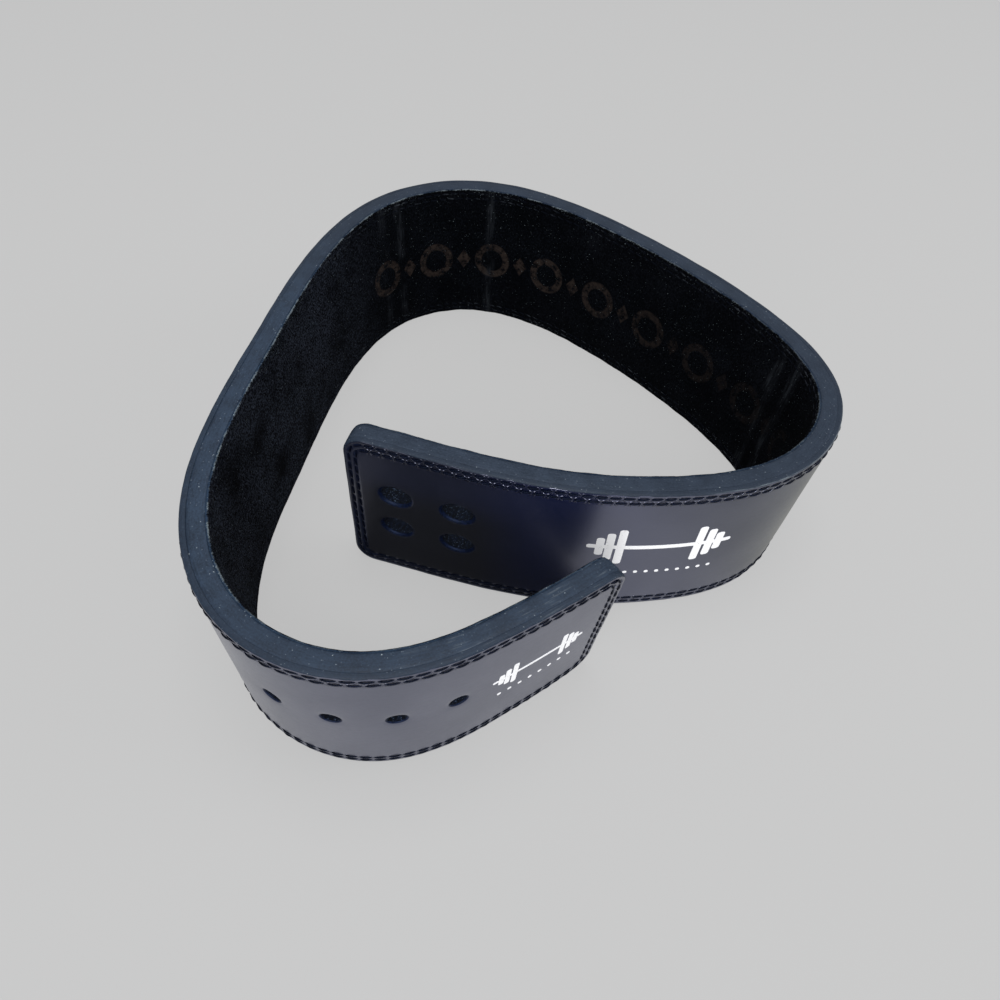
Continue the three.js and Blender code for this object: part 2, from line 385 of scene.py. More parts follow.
def slab(lines, face_outs, profile, bore, outward):
    """A closed slab between two face outs, the visible face's first. profile gives the rings from
    the visible face round the edge to the back, and bore(hole, angles) does the same for a hole,
    as distances off its rim. outward is 1 when the visible face looks out and -1 when it looks in.
    Gives flat points, faces and attributes: each point's distances from the outline and from a
    hole's rim, the latter also in widths of the hole's lip, and its phases on the stitches."""
    index, grid, anchors, angles = bordered_grid(*lines)
    outline_points, phases, insets, outs = profile_round(profile, grid[anchors], angles)
    rings = outline_at(grid[anchors][None], angles[None], insets)
    flat = [np.column_stack([grid, np.full(len(grid), out)]) for out in face_outs]
    flat.append(np.dstack([rings, outs]).reshape(-1, 3))
    from_ends = np.minimum(grid[:, 0], BELT_LENGTH - grid[:, 0])
    from_edges = np.minimum(grid[:, 1], BELT_WIDTH - grid[:, 1])
    inset = [np.minimum(from_ends, from_edges)] * 2 + [insets.ravel()]
    on_rings = slice(2 * len(grid), 2 * len(grid) + insets.size)
    count = on_rings.stop
    rim = [np.full(count, FAR)]
    lip = [rim[0] / OVAL_LIP]
    ring_index = np.arange(on_rings.start, count).reshape(insets.shape)
    rows = np.vstack([anchors, ring_index, anchors + len(grid)])
    faces = [bands(rows, outward < 0)]
    kept = np.ones((index.shape[0] - 1, index.shape[1] - 1), bool)
    for hole in HOLES:
        i0, i1, j0, j1 = hole_block(hole, *lines)
        kept[i0:i1, j0:j1] = False
        loop = block_loop(index, i0, i1, j0, j1)
        offset = grid[loop] - hole["middle"]
        angle = np.arctan2(offset[:, 1] / hole["half"][1], offset[:, 0] / hole["half"][0])
        ellipse = np.stack([np.cos(angle), np.sin(angle)], -1) * hole["half"]
        away = offset - ellipse
        away /= np.linalg.norm(away, axis=1)[:, None]
        off_rim, hole_outs = bore(hole, angle)
        ring = ellipse + away * off_rim[..., None] + hole["middle"]
        flat.append(np.dstack([ring, hole_outs]).reshape(-1, 3))
        inset.append(np.full(off_rim.size, FAR))
        rim.append(off_rim.ravel())
        lip.append(off_rim.ravel() / hole["lip"])
        ring_index = np.arange(count, count + off_rim.size).reshape(off_rim.shape)
        count += off_rim.size
        rows = np.vstack([loop, ring_index, loop + len(grid)])
        faces.append(bands(rows, outward > 0))
    corners = [index[:-1, :-1], index[:-1, 1:], index[1:, 1:], index[1:, :-1]]
    cells = np.stack(corners, -1)[kept]
    faces += [cells[:, ::outward], cells[:, ::-outward] + len(grid)]
    attributes = {"inset": inset, "rim": rim, "lip": lip}
    attributes = {label: np.concatenate(parts) for label, parts in attributes.items()}
    for label, phase in zip(PHASE_LABELS, phases):
        attributes[label] = np.zeros(count)
        attributes[label][on_rings] = np.tile(phase, len(insets))
    return {"flat": np.vstack(flat), "faces": np.vstack(faces), "attributes": attributes}


print("holes:", len(HOLES))

# %% [markdown]
# A finished piece is one mesh at the origin. Whole arrays go into it at once. Each point keeps its
# flat coordinates as an attribute, so that grain, creases and marks follow the leather round the
# bends. A layer's points also keep their distances from the outline and from a hole's rim, so that
# wear can gather there, and their phases, so that the leather can fold at each needle hole.

# %% Arrays to a piece
SHARP_ABOVE = radians(40)


def add_piece(name, shape, node_material):
    """Makes a piece from a shape's flat points, faces of four or three corners, and attributes. A
    four-sided face with a corner twice is a triangle. Prints its volume, the sum of the faces'
    box products over six, which is above zero when it faces outwards."""
    used, faces = np.unique(shape["faces"], return_inverse=True)
    faces = faces.reshape(-1, 4)
    flat = shape["flat"][used]
    keep = faces != np.roll(faces, -1, 1)
    faces = faces[keep.sum(1) >= 3]
    keep = keep[keep.sum(1) >= 3]
    sizes = keep.sum(1)
    points = strip_points(flat)
    mesh = bpy.data.meshes.new(name)
    mesh.vertices.add(len(points))
    mesh.vertices.foreach_set("co", points.astype(np.float32).ravel())
    mesh.loops.add(int(sizes.sum()))
    mesh.loops.foreach_set("vertex_index", faces[keep].astype(np.int32))
    mesh.polygons.add(len(sizes))
    mesh.polygons.foreach_set("loop_start", np.append(0, np.cumsum(sizes)[:-1]).astype(np.int32))
    mesh.update(calc_edges=True)
    flat_attribute = mesh.attributes.new("flat", "FLOAT_VECTOR", "POINT")
    flat_attribute.data.foreach_set("vector", flat.astype(np.float32).ravel())
    for label, values in shape["attributes"].items():
        attribute = mesh.attributes.new(label, "FLOAT", "POINT")
        attribute.data.foreach_set("value", values[used].astype(np.float32))
    mesh.polygons.foreach_set("use_smooth", np.ones(len(sizes), bool))
    mesh.set_sharp_from_angle(angle=SHARP_ABOVE)
    mesh.materials.append(node_material)
    piece = bpy.data.objects.new(name, mesh)
    bpy.context.scene.collection.objects.link(piece)
    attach(piece, "root")
    a, b, c, d = (points[faces[:, i]] for i in range(4))
    volume = (np.sum(a * np.cross(b, c)) + np.sum(a * np.cross(c, d))) / 6
    triangles = int((sizes - 2).sum())
    print(f"{name}: {triangles} triangles, {volume / MM ** 3 / 1000:.1f} cm3, closed faces out")
    return piece


def joined(parts):
    """Several lots of flat points and faces as one shape without attributes."""
    starts = np.append(0, np.cumsum([len(flat) for flat, faces in parts]))[:-1]
    flats = np.vstack([flat for flat, faces in parts])
    faces = np.vstack([faces + start for (flat, faces), start in zip(parts, starts)])
    return {"flat": flats, "faces": faces, "attributes": {}}


print("sharp edges above", round(SHARP_ABOVE / pi * 180), "degrees")

# %% [markdown]
# A finish is a small program made of shader nodes. One class wraps a socket, so that sums on
# sockets read as plain sums, and one method adds any other kind of node: its settings are set
# first, then the values or links of its sockets.


# %% Finishes as expressions
class Wire:
    """An output socket inside a finish. Sums on it add Math nodes."""

    def __init__(self, finish, socket):
        self.finish = finish
        self.socket = socket

    def math(self, operation, *values):
        return self.finish.node("ShaderNodeMath", {"operation": operation}, dict(enumerate(values)))

    def __add__(self, other):
        return self.math("ADD", self, other)

    def __radd__(self, other):
        return self.math("ADD", other, self)

    def __sub__(self, other):
        return self.math("SUBTRACT", self, other)

    def __rsub__(self, other):
        return self.math("SUBTRACT", other, self)

    def __mul__(self, other):
        return self.math("MULTIPLY", self, other)

    def __rmul__(self, other):
        return self.math("MULTIPLY", other, self)

    def __abs__(self):
        return self.math("ABSOLUTE", self)

    def power(self, exponent):
        return self.math("POWER", self, exponent)

    def most(self, other):
        return self.math("MAXIMUM", self, other)

    def folded(self, length):
        """The distance to the nearest whole number of doubled lengths."""
        settings = {"operation": "PINGPONG"}
        return self.finish.node("ShaderNodeMath", settings, {0: self, 1: length})

    def wave(self, length):
        """A sine of this value with a given wave length, from -1 to 1."""
        return self.math("SINE", self * (2 * pi / length))

    def between(self, low, high):
        """0 below low, 1 above high, and a smooth step between them. High may be the lower one."""
        ends = {"From Min": low, "From Max": high, "Value": self}
        settings = {"interpolation_type": "SMOOTHSTEP"}
        return self.finish.node("ShaderNodeMapRange", settings, ends)


class Finish:
    """A material whose nodes are added one at a time."""

    def __init__(self, name):
        self.material = bpy.data.materials.new(name)
        self.material.use_nodes = True
        self.tree = self.material.node_tree
        self.tree.nodes.clear()

    def node(self, kind, settings=None, inputs=None, output=0):
        """Adds a node, sets its settings, then its sockets by name or number, each to a value or
        a wire, and gives the chosen output as a wire."""
        made = self.tree.nodes.new(kind)
        for key, value in (settings or {}).items():
            setattr(made, key, value)
        for key, value in (inputs or {}).items():
            if isinstance(value, Wire):
                self.tree.links.new(value.socket, made.inputs[key])
            else:
                made.inputs[key].default_value = value
        return Wire(self, made.outputs[output])

    def read(self, label, output="Fac"):
        """A mesh attribute of the piece."""
        return self.node("ShaderNodeAttribute", {"attribute_name": label}, output=output)

    def flat(self):
        """The flat coordinates of the strip, as a vector and as along, height and out."""
        vector = self.read("flat", "Vector")
        parts = [
            self.node("ShaderNodeSeparateXYZ", inputs={"Vector": vector}, output=axis)
            for axis in "XYZ"
        ]
        return vector, *parts

    def stretch(self, vector, by):
        """A vector times another, part by part."""
        return self.node("ShaderNodeVectorMath", {"operation": "MULTIPLY"}, {0: vector, 1: by})

    def noise(self, vector, scale, detail=2.0, rough=0.5):
        """Cloudy noise, mostly from 0.3 to 0.7. Scale is in clouds a metre."""
        sockets = {"Vector": vector, "Scale": scale, "Detail": detail, "Roughness": rough}
        return self.node("ShaderNodeTexNoise", {"normalize": True}, sockets)

    def mix(self, factor, first, second):
        """One colour turning into another."""
        settings = {"data_type": "RGBA", "blend_type": "MIX", "clamp_factor": True}
        sockets = {0: factor, 6: first, 7: second}
        return self.node("ShaderNodeMix", settings, sockets, output=2)

    def bump(self, height, distance, under=None):
        """A normal that follows a height from 0 to 1, which stands for a distance in metres."""
        sockets = {"Height": height, "Distance": distance, "Strength": 1.0}
        if under is not None:
            sockets["Normal"] = under
        return self.node("ShaderNodeBump", {}, sockets)

    def shader(self, **sockets):
        """A Principled BSDF, whose sockets are named with underscores."""
        named = {key.replace("_", " "): value for key, value in sockets.items()}
        return self.node("ShaderNodeBsdfPrincipled", {}, named)

    def ends_in(self, shader):
        """Joins a shader to the material's output and gives the material."""
        output = self.tree.nodes.new("ShaderNodeOutputMaterial")
        self.tree.links.new(shader.socket, output.inputs["Surface"])
        return self.material

    def surface(self, **sockets):
        """Ends the finish in one Principled BSDF."""
        return self.ends_in(self.shader(**sockets))


def colour(red, green, blue):
    """A colour socket's value from linear red, green and blue."""
    return (red, green, blue, 1.0)


print("finish tools ready")

# %% [markdown]
# The edge paint is a satin slate blue, brushed over the trimmed leather. Close up it is mottled,
# has fine strokes along the edge and a few pale specks where it chipped. A long edge is never one
# tone: it is dull at the tongue, bluer up to the back and darker along it, and before the end with
# the ovals its outer border is rubbed pale. So the mottle is one noise, and each change is a mask
# on the coordinate along the strip. The paint runs on over the soft edge of the lining, so its
# colour is a function that two finishes use. The same finish dyes the walls of the holes dark,
# and darkens them further with painted shade.

# %% Finish of the painted edge
PAINT_DARK = colour(0.0075, 0.0135, 0.0250)
PAINT_LIGHT = colour(0.0210, 0.0320, 0.0520)
PAINT_BLUER = colour(0.0190, 0.0440, 0.0850)
PAINT_WORN = colour(0.15, 0.18, 0.20)
PAINT_FLECK = colour(0.22, 0.25, 0.27)
BORE_DARK = colour(0.0010, 0.0022, 0.0055)
BORE_BLUE = colour(0.0045, 0.0085, 0.0210)
BORE_SPECK = colour(0.065, 0.095, 0.150)
SHADED_DARK = colour(0.0012, 0.0026, 0.0080)
SHADED_BLUE = colour(0.0040, 0.0080, 0.0300)

# Noises are given by clouds a metre, detail and roughness, spans by where a mask begins and ends.
MOTTLE_NOISE = (70, 3.0, 0.6)
STROKE_NOISE = (1500, 2.0)
GRIT_NOISE = (1100, 2.0, 0.7)
DRY_NOISE = (900, 3.0, 0.6)
FLECK_NOISE = (1100, 1.0)
SHADE_SPAN = (0.45, 0.85)
DRY_SPAN = (0.52, 0.70)
DRY_PATCHES = (0.40, 0.60)
FLECK_SPAN = (0.71, 0.80)
FLECK_PATCHES = (0.35, 0.55)
RUBBED_STROKES = (0.35, 0.60)
STROKE_STRETCH = (0.12, 1.0, 1.0)
DRY_STRETCH = (0.07, 1.0, 1.0)
DRY_UNTIL = (70 * MM, 120 * MM)
FIRST_UNTIL = (150 * MM, 230 * MM)
DARKER_FROM_SEAM = (3.1 * MM, 3.6 * MM)
BLUER_UNTIL = (380 * MM, 500 * MM)
DARKER_UNTIL = (960 * MM, 1050 * MM)
RUBBED_OUT = (5.8 * MM, 6.2 * MM)
RUBBED_FROM = (850 * MM, 890 * MM)
RUBBED_UNTIL = (955 * MM, 985 * MM)
BLUER_SHARE = 0.30
DARKER_SHARE = 0.35
FIRST_SHARE = 0.28
DRY_SHARE = 0.20
DARKER_FROM_SEAM_SHARE = 0.4
RUBBED_SHARE = 0.5
PAINT_RELIEF = 0.10 * MM
BORE_NOISE = (900, 3.0, 0.7)
BORE_STRETCH = (1.0, 1.0, 0.4)
BORE_SPAN = (0.40, 0.65)
BORE_SPECK_NOISE = (1500, 1.0)
BORE_SPECK_SPAN = (0.63, 0.73)
BORE_RIM = (0.30 * MM, 0.50 * MM)


def paint_colour(finish):
    """Mottled slate with strokes along the strip and pale flecks. It is duller at the tongue, where
    the brush was dry and left pale strokes, bluer on that half, darker along the back, darker on
    the facing's edge from the seam outwards, and rubbed pale on one stretch. Gives the colour, the
    height of the relief and the out coordinate."""
    vector, along, height, out = finish.flat()
    mottle = finish.noise(vector, *MOTTLE_NOISE)
    strokes = finish.noise(finish.stretch(vector, STROKE_STRETCH), *STROKE_NOISE)
    grit = finish.noise(vector, *GRIT_NOISE)
    shade = (mottle * 0.5 + strokes * 0.3 + grit * 0.5).between(*SHADE_SPAN)
    base = finish.mix(shade, PAINT_DARK, PAINT_LIGHT)
    past_bluer = along.between(*BLUER_UNTIL)
    base = finish.mix((1 - past_bluer) * shade * BLUER_SHARE, base, PAINT_BLUER)
    darker = past_bluer * (1 - along.between(*DARKER_UNTIL))
    base = finish.mix(darker * DARKER_SHARE, base, PAINT_DARK)
    base = finish.mix((1 - along.between(*FIRST_UNTIL)) * FIRST_SHARE, base, PAINT_DARK)
    dry = finish.noise(finish.stretch(vector, DRY_STRETCH), *DRY_NOISE).between(*DRY_SPAN)
    dry = dry * mottle.between(*DRY_PATCHES) * (1 - along.between(*DRY_UNTIL))
    base = finish.mix(dry * DRY_SHARE, base, PAINT_FLECK)
    flecks = finish.noise(vector, *FLECK_NOISE).between(*FLECK_SPAN)
    base = finish.mix(flecks * mottle.between(*FLECK_PATCHES), base, PAINT_FLECK)
    # Darker on the facing's edge, from just above the seam outwards.
    base = finish.mix(out.between(*DARKER_FROM_SEAM) * DARKER_FROM_SEAM_SHARE, base, PAINT_DARK)
    rubbed = along.between(*RUBBED_FROM) * (1 - along.between(*RUBBED_UNTIL))
    rubbed = rubbed * out.between(*RUBBED_OUT) * strokes.between(*RUBBED_STROKES)
    base = finish.mix(rubbed * RUBBED_SHARE, base, PAINT_WORN)
    return base, mottle * 0.4 + strokes * 0.3 + grit * 0.3, out


def bore_colour(finish, base):
    """The dyed wall of a punched hole, blotchy and dark, where a point is close to a hole's rim.
    Its darkness is partly dye and partly painted shade inside the hole. Gives the colour and how
    much of a bore it is."""
    vector = finish.read("flat", "Vector")
    fibres = finish.noise(finish.stretch(vector, BORE_STRETCH), *BORE_NOISE)
    bore = 1 - finish.read("rim").between(*BORE_RIM)
    # Dark dye, made darker still as painted shade inside the hole.
    dyed_and_shaded = finish.mix(fibres.between(*BORE_SPAN), BORE_DARK, BORE_BLUE)
    specks = finish.noise(vector, *BORE_SPECK_NOISE).between(*BORE_SPECK_SPAN)
    dyed_and_shaded = finish.mix(specks, dyed_and_shaded, BORE_SPECK)
    return finish.mix(bore, base, dyed_and_shaded), bore


def painted_edge_finish():
    """The paint on the core's edge, and dyed leather in its bores, darkened with painted shade."""
    finish = Finish("painted_edge")
    base, relief, out = paint_colour(finish)
    base, bore = bore_colour(finish, base)
    normal = finish.bump(relief, PAINT_RELIEF)
    roughness = relief * 0.25 + 0.42 + bore * 0.4
    return finish.surface(
        Base_Color=base, Roughness=roughness, Normal=normal, Specular_IOR_Level=0.2
    )


painted_edge = painted_edge_finish()
print("painted edge:", len(painted_edge.node_tree.nodes), "nodes")

# %% [markdown]
# The facing is smooth, glossy finished leather in dark navy. Its colour hardly shows by itself:
# what the eye sees is what it mirrors, softly, so roughness and a fine unevenness matter most. A
# clear coat over a slightly rougher base gives the doubled gloss of waxed leather. Near the end
# with the ovals the navy is first a richer blue and then a greyer, warmer tone, most low down,
# which is a painted reflection. The border is lighter in streaks, partly wear and partly a painted
# highlight. The rolled lips of the holes, the furrows beside the thread and the end's lower side
# are duller and darker: painted shade, and at the lips partly dye. So the finish is two shaders,
# and a mask of those places mixes them.

# %% Finish of the facing
NAVY_DEEP = colour(0.0045, 0.0068, 0.0195)
NAVY_SOFT = colour(0.0070, 0.0096, 0.0270)
NAVY_WORN_HIGHLIGHT = colour(0.05, 0.055, 0.08)
NAVY_RICH = colour(0.0035, 0.0065, 0.0300)
NAVY_REFLECTED_GREY = colour(0.0070, 0.0078, 0.0105)
COOL_MIRROR = colour(0.735, 0.765, 1.0)
RICH_BETWEEN = (990 * MM, 1025 * MM)
RICH_UNTIL = (1060 * MM, 1110 * MM)
REFLECTED_GREY_BETWEEN = (1045 * MM, 1090 * MM)
REFLECTED_GREY_BELOW = (55 * MM, 80 * MM)
CREST_HEIGHT = 0.75 * MM
CREST_REACH = 2.0 * MM
CREST_HALF = 0.8 * MM
FURROW_SHADE_HALF = (0.6 * MM, 1.2 * MM)
FURROW_SHADE_PAST = (0.5 * MM, 1.3 * MM)
OUTER_CREST = 0.55
SLACK_END = (1142 * MM, 1145 * MM)
SLACK_LOWER = (1000 * MM, 1030 * MM)
SLACK_BELOW = (40 * MM, 60 * MM)
LOWER_SHADE_HALF = (7.8 * MM, 8.8 * MM)
SCRATCH_STRETCH = (0.06, 1.0, 1.0)
FOLD_SPREAD = 0.7
FOLD_HALF_FROM = 0.1 * MM
CLOUD_NOISE = (24, 3.0, 0.6)
GRAIN_NOISE = (1400, 3.0, 0.6)
PORE_NOISE = (420, 2.0)
SCRATCH_NOISE = (1100, 3.0, 0.6)
CLOUD_SPAN = (0.3, 0.7)
BORDER_SPAN = (1.2 * MM, 2.2 * MM)
BORDER_STROKES = (0.45, 0.7)
BORDER_SHARE = 0.6
REFLECTED_GREY_SHARE = 0.6
GRAIN_HEIGHT = 0.035 * MM
SHADED_SPAN = (0.4, 0.6)
FURROW_SHADE_SHARE = 0.75
BLUE_MIRROR = colour(0.45, 0.60, 1.0)
LIP_RAGGED = 0.6
SHADED_LIP_SPAN = (0.45, 1.0)


def crests(finish, inset, along, height):
    """Two masks of the leather round the stitches. The first is 1 where it stands up round a needle
    hole. Four short folds run out from the hole: on them the distance along the row is a fixed
    share of the distance from it. The folds are lower on the outer row. The end's short side and
    its lower side were sewn with less pull, so they have none. The second is painted shade: it is 1
    in the furrow beside the thread, and all along that lower side."""
    found = 0
    furrow_shade = 0
    for row, label, tall in zip(STITCH_INSETS, PHASE_LABELS, [OUTER_CREST, 1.0]):
        from_hole = finish.read(label).folded(0.5) * STITCH_PITCH
        from_row = abs(inset - row)
        off_fold = abs(from_hole - from_row * FOLD_SPREAD)
        fold = 1 - off_fold.between(FOLD_HALF_FROM, CREST_HALF)
        found = found + fold * (1 - from_row.between(CREST_REACH * 0.5, CREST_REACH)) * tall
        # Painted shade in the furrow beside each row of stitches.
        beside = (1 - from_row.between(*FURROW_SHADE_HALF)) * from_hole.between(*FURROW_SHADE_PAST)
        furrow_shade = furrow_shade + beside
    # Painted shade all along the end's lower side as well.
    lower = along.between(*SLACK_LOWER) * (1 - height.between(*SLACK_BELOW))
    lower_side_shade = lower * (1 - inset.between(*LOWER_SHADE_HALF))
    return found * (1 - along.between(*SLACK_END).most(lower)), furrow_shade.most(lower_side_shade)


def navy_leather_finish():
    """Dark navy that mirrors softly. Clouds, scratches and grain vary how much coat lies on it."""
    finish = Finish("navy_leather")
    vector, along, height, out = finish.flat()
    inset = finish.read("inset")
    clouds = finish.noise(vector, *CLOUD_NOISE)
    grain = finish.noise(vector, *GRAIN_NOISE)
    pores = finish.noise(vector, *PORE_NOISE)
    scratches = finish.noise(finish.stretch(vector, SCRATCH_STRETCH), *SCRATCH_NOISE)
    base = finish.mix(clouds.between(*CLOUD_SPAN), NAVY_DEEP, NAVY_SOFT)
    border = 1 - inset.between(*BORDER_SPAN)
    # Lighter streaks along the border: partly wear, partly a painted highlight just inside the
    # paint.
    worn = border * scratches.between(*BORDER_STROKES) * BORDER_SHARE
    base = finish.mix(worn, base, NAVY_WORN_HIGHLIGHT)
    # From about 990 mm a richer blue, then a greyer, warmer tone towards the end, strongest low
    # down: a painted reflection.
    rich = along.between(*RICH_BETWEEN) * (1 - along.between(*RICH_UNTIL))
    base = finish.mix(rich, base, NAVY_RICH)
    tone_mask = along.between(*REFLECTED_GREY_BETWEEN) * (1 - height.between(*REFLECTED_GREY_BELOW) * REFLECTED_GREY_SHARE)
    base = finish.mix(tone_mask, base, NAVY_REFLECTED_GREY)
    roughness = clouds * 0.10 + pores * 0.10 + scratches * 0.12 + 0.17
    relief = grain * 0.4 + pores * 0.4 + scratches * 0.4
    normal = finish.bump(relief, GRAIN_HEIGHT)
    folds, furrow_shade = crests(finish, inset, along, height)
    normal = finish.bump(folds, CREST_HEIGHT, normal)
    glossy = finish.shader(
        Base_Color=base,
        Roughness=roughness,
        Normal=normal,
        IOR=2.3,
        Specular_IOR_Level=0.5,
        Specular_Tint=COOL_MIRROR,
        Coat_Weight=clouds.between(*CLOUD_SPAN) * 0.25 + grain * 0.28 + scratches * 0.32,
        Coat_Roughness=0.2,
    )
    # Painted shade: a darker, duller shader for the rolled lips of the holes, partly dye there, and
    # for the furrows and the end's lower side.
    dyed_and_shaded = finish.shader(
        Base_Color=finish.mix(grain.between(*SHADED_SPAN), SHADED_DARK, SHADED_BLUE),
        Roughness=grain * 0.3 + 0.35,
        Normal=normal,
        Specular_IOR_Level=0.25,
        Specular_Tint=BLUE_MIRROR,
    )
    ragged = finish.read("lip") + (clouds - 0.5) * LIP_RAGGED
    rolled = 1 - ragged.between(*SHADED_LIP_SPAN)
    dark = rolled.most(furrow_shade * FURROW_SHADE_SHARE)
    return finish.ends_in(finish.node("ShaderNodeMixShader", {}, {0: dark, 1: glossy, 2: dyed_and_shaded}))


navy_leather = navy_leather_finish()
print("facing finish:", len(navy_leather.node_tree.nodes), "nodes")

# %% [markdown]
# The lining is black suede. It swallows nearly all light, so it is told from plain black only by
# its nap: soft patches where the nap lies differently, short strokes, and dusty flecks that gather
# near the edges. A stretch on the left is lighter, in dusty patches of nap: partly dust and partly
# painted light. Where the belt was folded tighter once, the nap stands up in pale creases. A row of
# plain rings and lozenges is stamped along the back, and has worn to a faint brown. Along the rim
# the paint reaches over the suede's edge, and its lip is chipped pale, so the paint's own colour is
# mixed in there.

# %% Finish of the lining
SUEDE_DEEP = colour(0.0006, 0.0008, 0.0014)
SUEDE_SOFT = colour(0.0040, 0.0048, 0.0068)
SUEDE_DUSTY_LIT = colour(0.0200, 0.0245, 0.0355)
SUEDE_FLECK = colour(0.10, 0.12, 0.13)
SUEDE_CREASE = colour(0.020, 0.023, 0.028)
STAMP_BROWN = colour(0.024, 0.018, 0.0155)
LIT_DUST_FADES = [120 * MM, 190 * MM, 420 * MM, 520 * MM]
CREASES = [(505 * MM, 0.5), (520 * MM, 0.6), (592 * MM, 0.9), (832 * MM, 0.9), (846 * MM, 0.8)]
CREASE_HALF = 5.0 * MM
STAMP_FROM = 505 * MM
STAMP_TO = 865 * MM
STAMP_PITCH = 45 * MM
STAMP_HEIGHT = 46 * MM
WORN_FROM = 620 * MM
WORN_TO = 820 * MM
STAMP_RADIUS = 11 * MM
STAMP_LINE = 5.0 * MM
STAMP_INSIDE = (STAMP_FROM - 15 * MM, STAMP_FROM - 14 * MM)
STAMP_PAST = (STAMP_TO, STAMP_TO + 1 * MM)
RING_SPAN = (STAMP_LINE * 0.35, STAMP_LINE * 0.65)
LOZENGE_SPAN = (STAMP_RADIUS * 0.60, STAMP_RADIUS * 0.75)
LOZENGE_SLIM = 1.4
WORN_SHARE = 0.75
STAMP_SHARE = 0.8
NAP_NOISE = (1500, 2.0, 0.6)
NAP_STRETCH = (1.0, 0.5, 1.0)
PATCH_NOISE = (35, 3.0, 0.6)
SUEDE_SPAN = (0.48, 0.76)
LIT_DUST_NAP = (0.42, 0.66)
LIT_DUST_PATCHES = (0.2, 0.6)
STAMP_NOISE = (260, 3.0, 0.7)
STAMP_SPAN = (0.30, 0.65)
BRUSHED_NOISE = (600, 2.0, 0.6)
BRUSHED_STRETCH = (1.0, 0.12, 1.0)
BRUSHED_SPAN = (0.4, 0.65)
CREASE_NOISE = (45, 2.0)
CREASE_SPAN = (0.35, 0.6)
CREASE_WANDER = 8 * MM
EDGE_DUST = (1.0 * MM, 12.0 * MM)
EDGE_DUST_SHARE = 0.045
SUEDE_FLECK_SPAN = (0.735, 0.775)
EDGE_SPAN = (0.9 * MM, 1.2 * MM)
PAINT_RAGGED = 1.6 * MM
PAINT_REACHES = INNER_FACE + 0.45 * MM
PAINT_SOFT = 0.15 * MM
BROKEN_NOISE = (130, 3.0, 0.7)
BROKEN_STRETCH = (1.0, 0.2, 0.2)
BROKEN_SPAN = (0.42, 0.58)
NAP_HEIGHT = 0.30 * MM
LIP_HALF = 0.45 * MM
LIP_FADES = [150 * MM, 190 * MM, 640 * MM, 760 * MM]


def stamped_row(finish, along, height):
    """1 on the lines of the stamped row. In each pitch a ring, whose distance is the root of the
    squares, and half a pitch further a lozenge, whose distance is the sum of the two offsets."""
    from_ring = (along - STAMP_FROM).folded(STAMP_PITCH / 2)
    up = height - STAMP_HEIGHT
    ring = (from_ring.power(2) + (up * up)).power(0.5)
    ring_line = 1 - abs(ring - STAMP_RADIUS).between(*RING_SPAN)
    lozenge = abs(STAMP_PITCH / 2 - from_ring) * LOZENGE_SLIM + abs(up)
    lozenge_fill = 1 - lozenge.between(*LOZENGE_SPAN)
    inside = along.between(*STAMP_INSIDE) * (1 - along.between(*STAMP_PAST))
    unworn = 1 - along.between(WORN_FROM, WORN_TO) * WORN_SHARE
    return ring_line.most(lozenge_fill) * inside * unworn


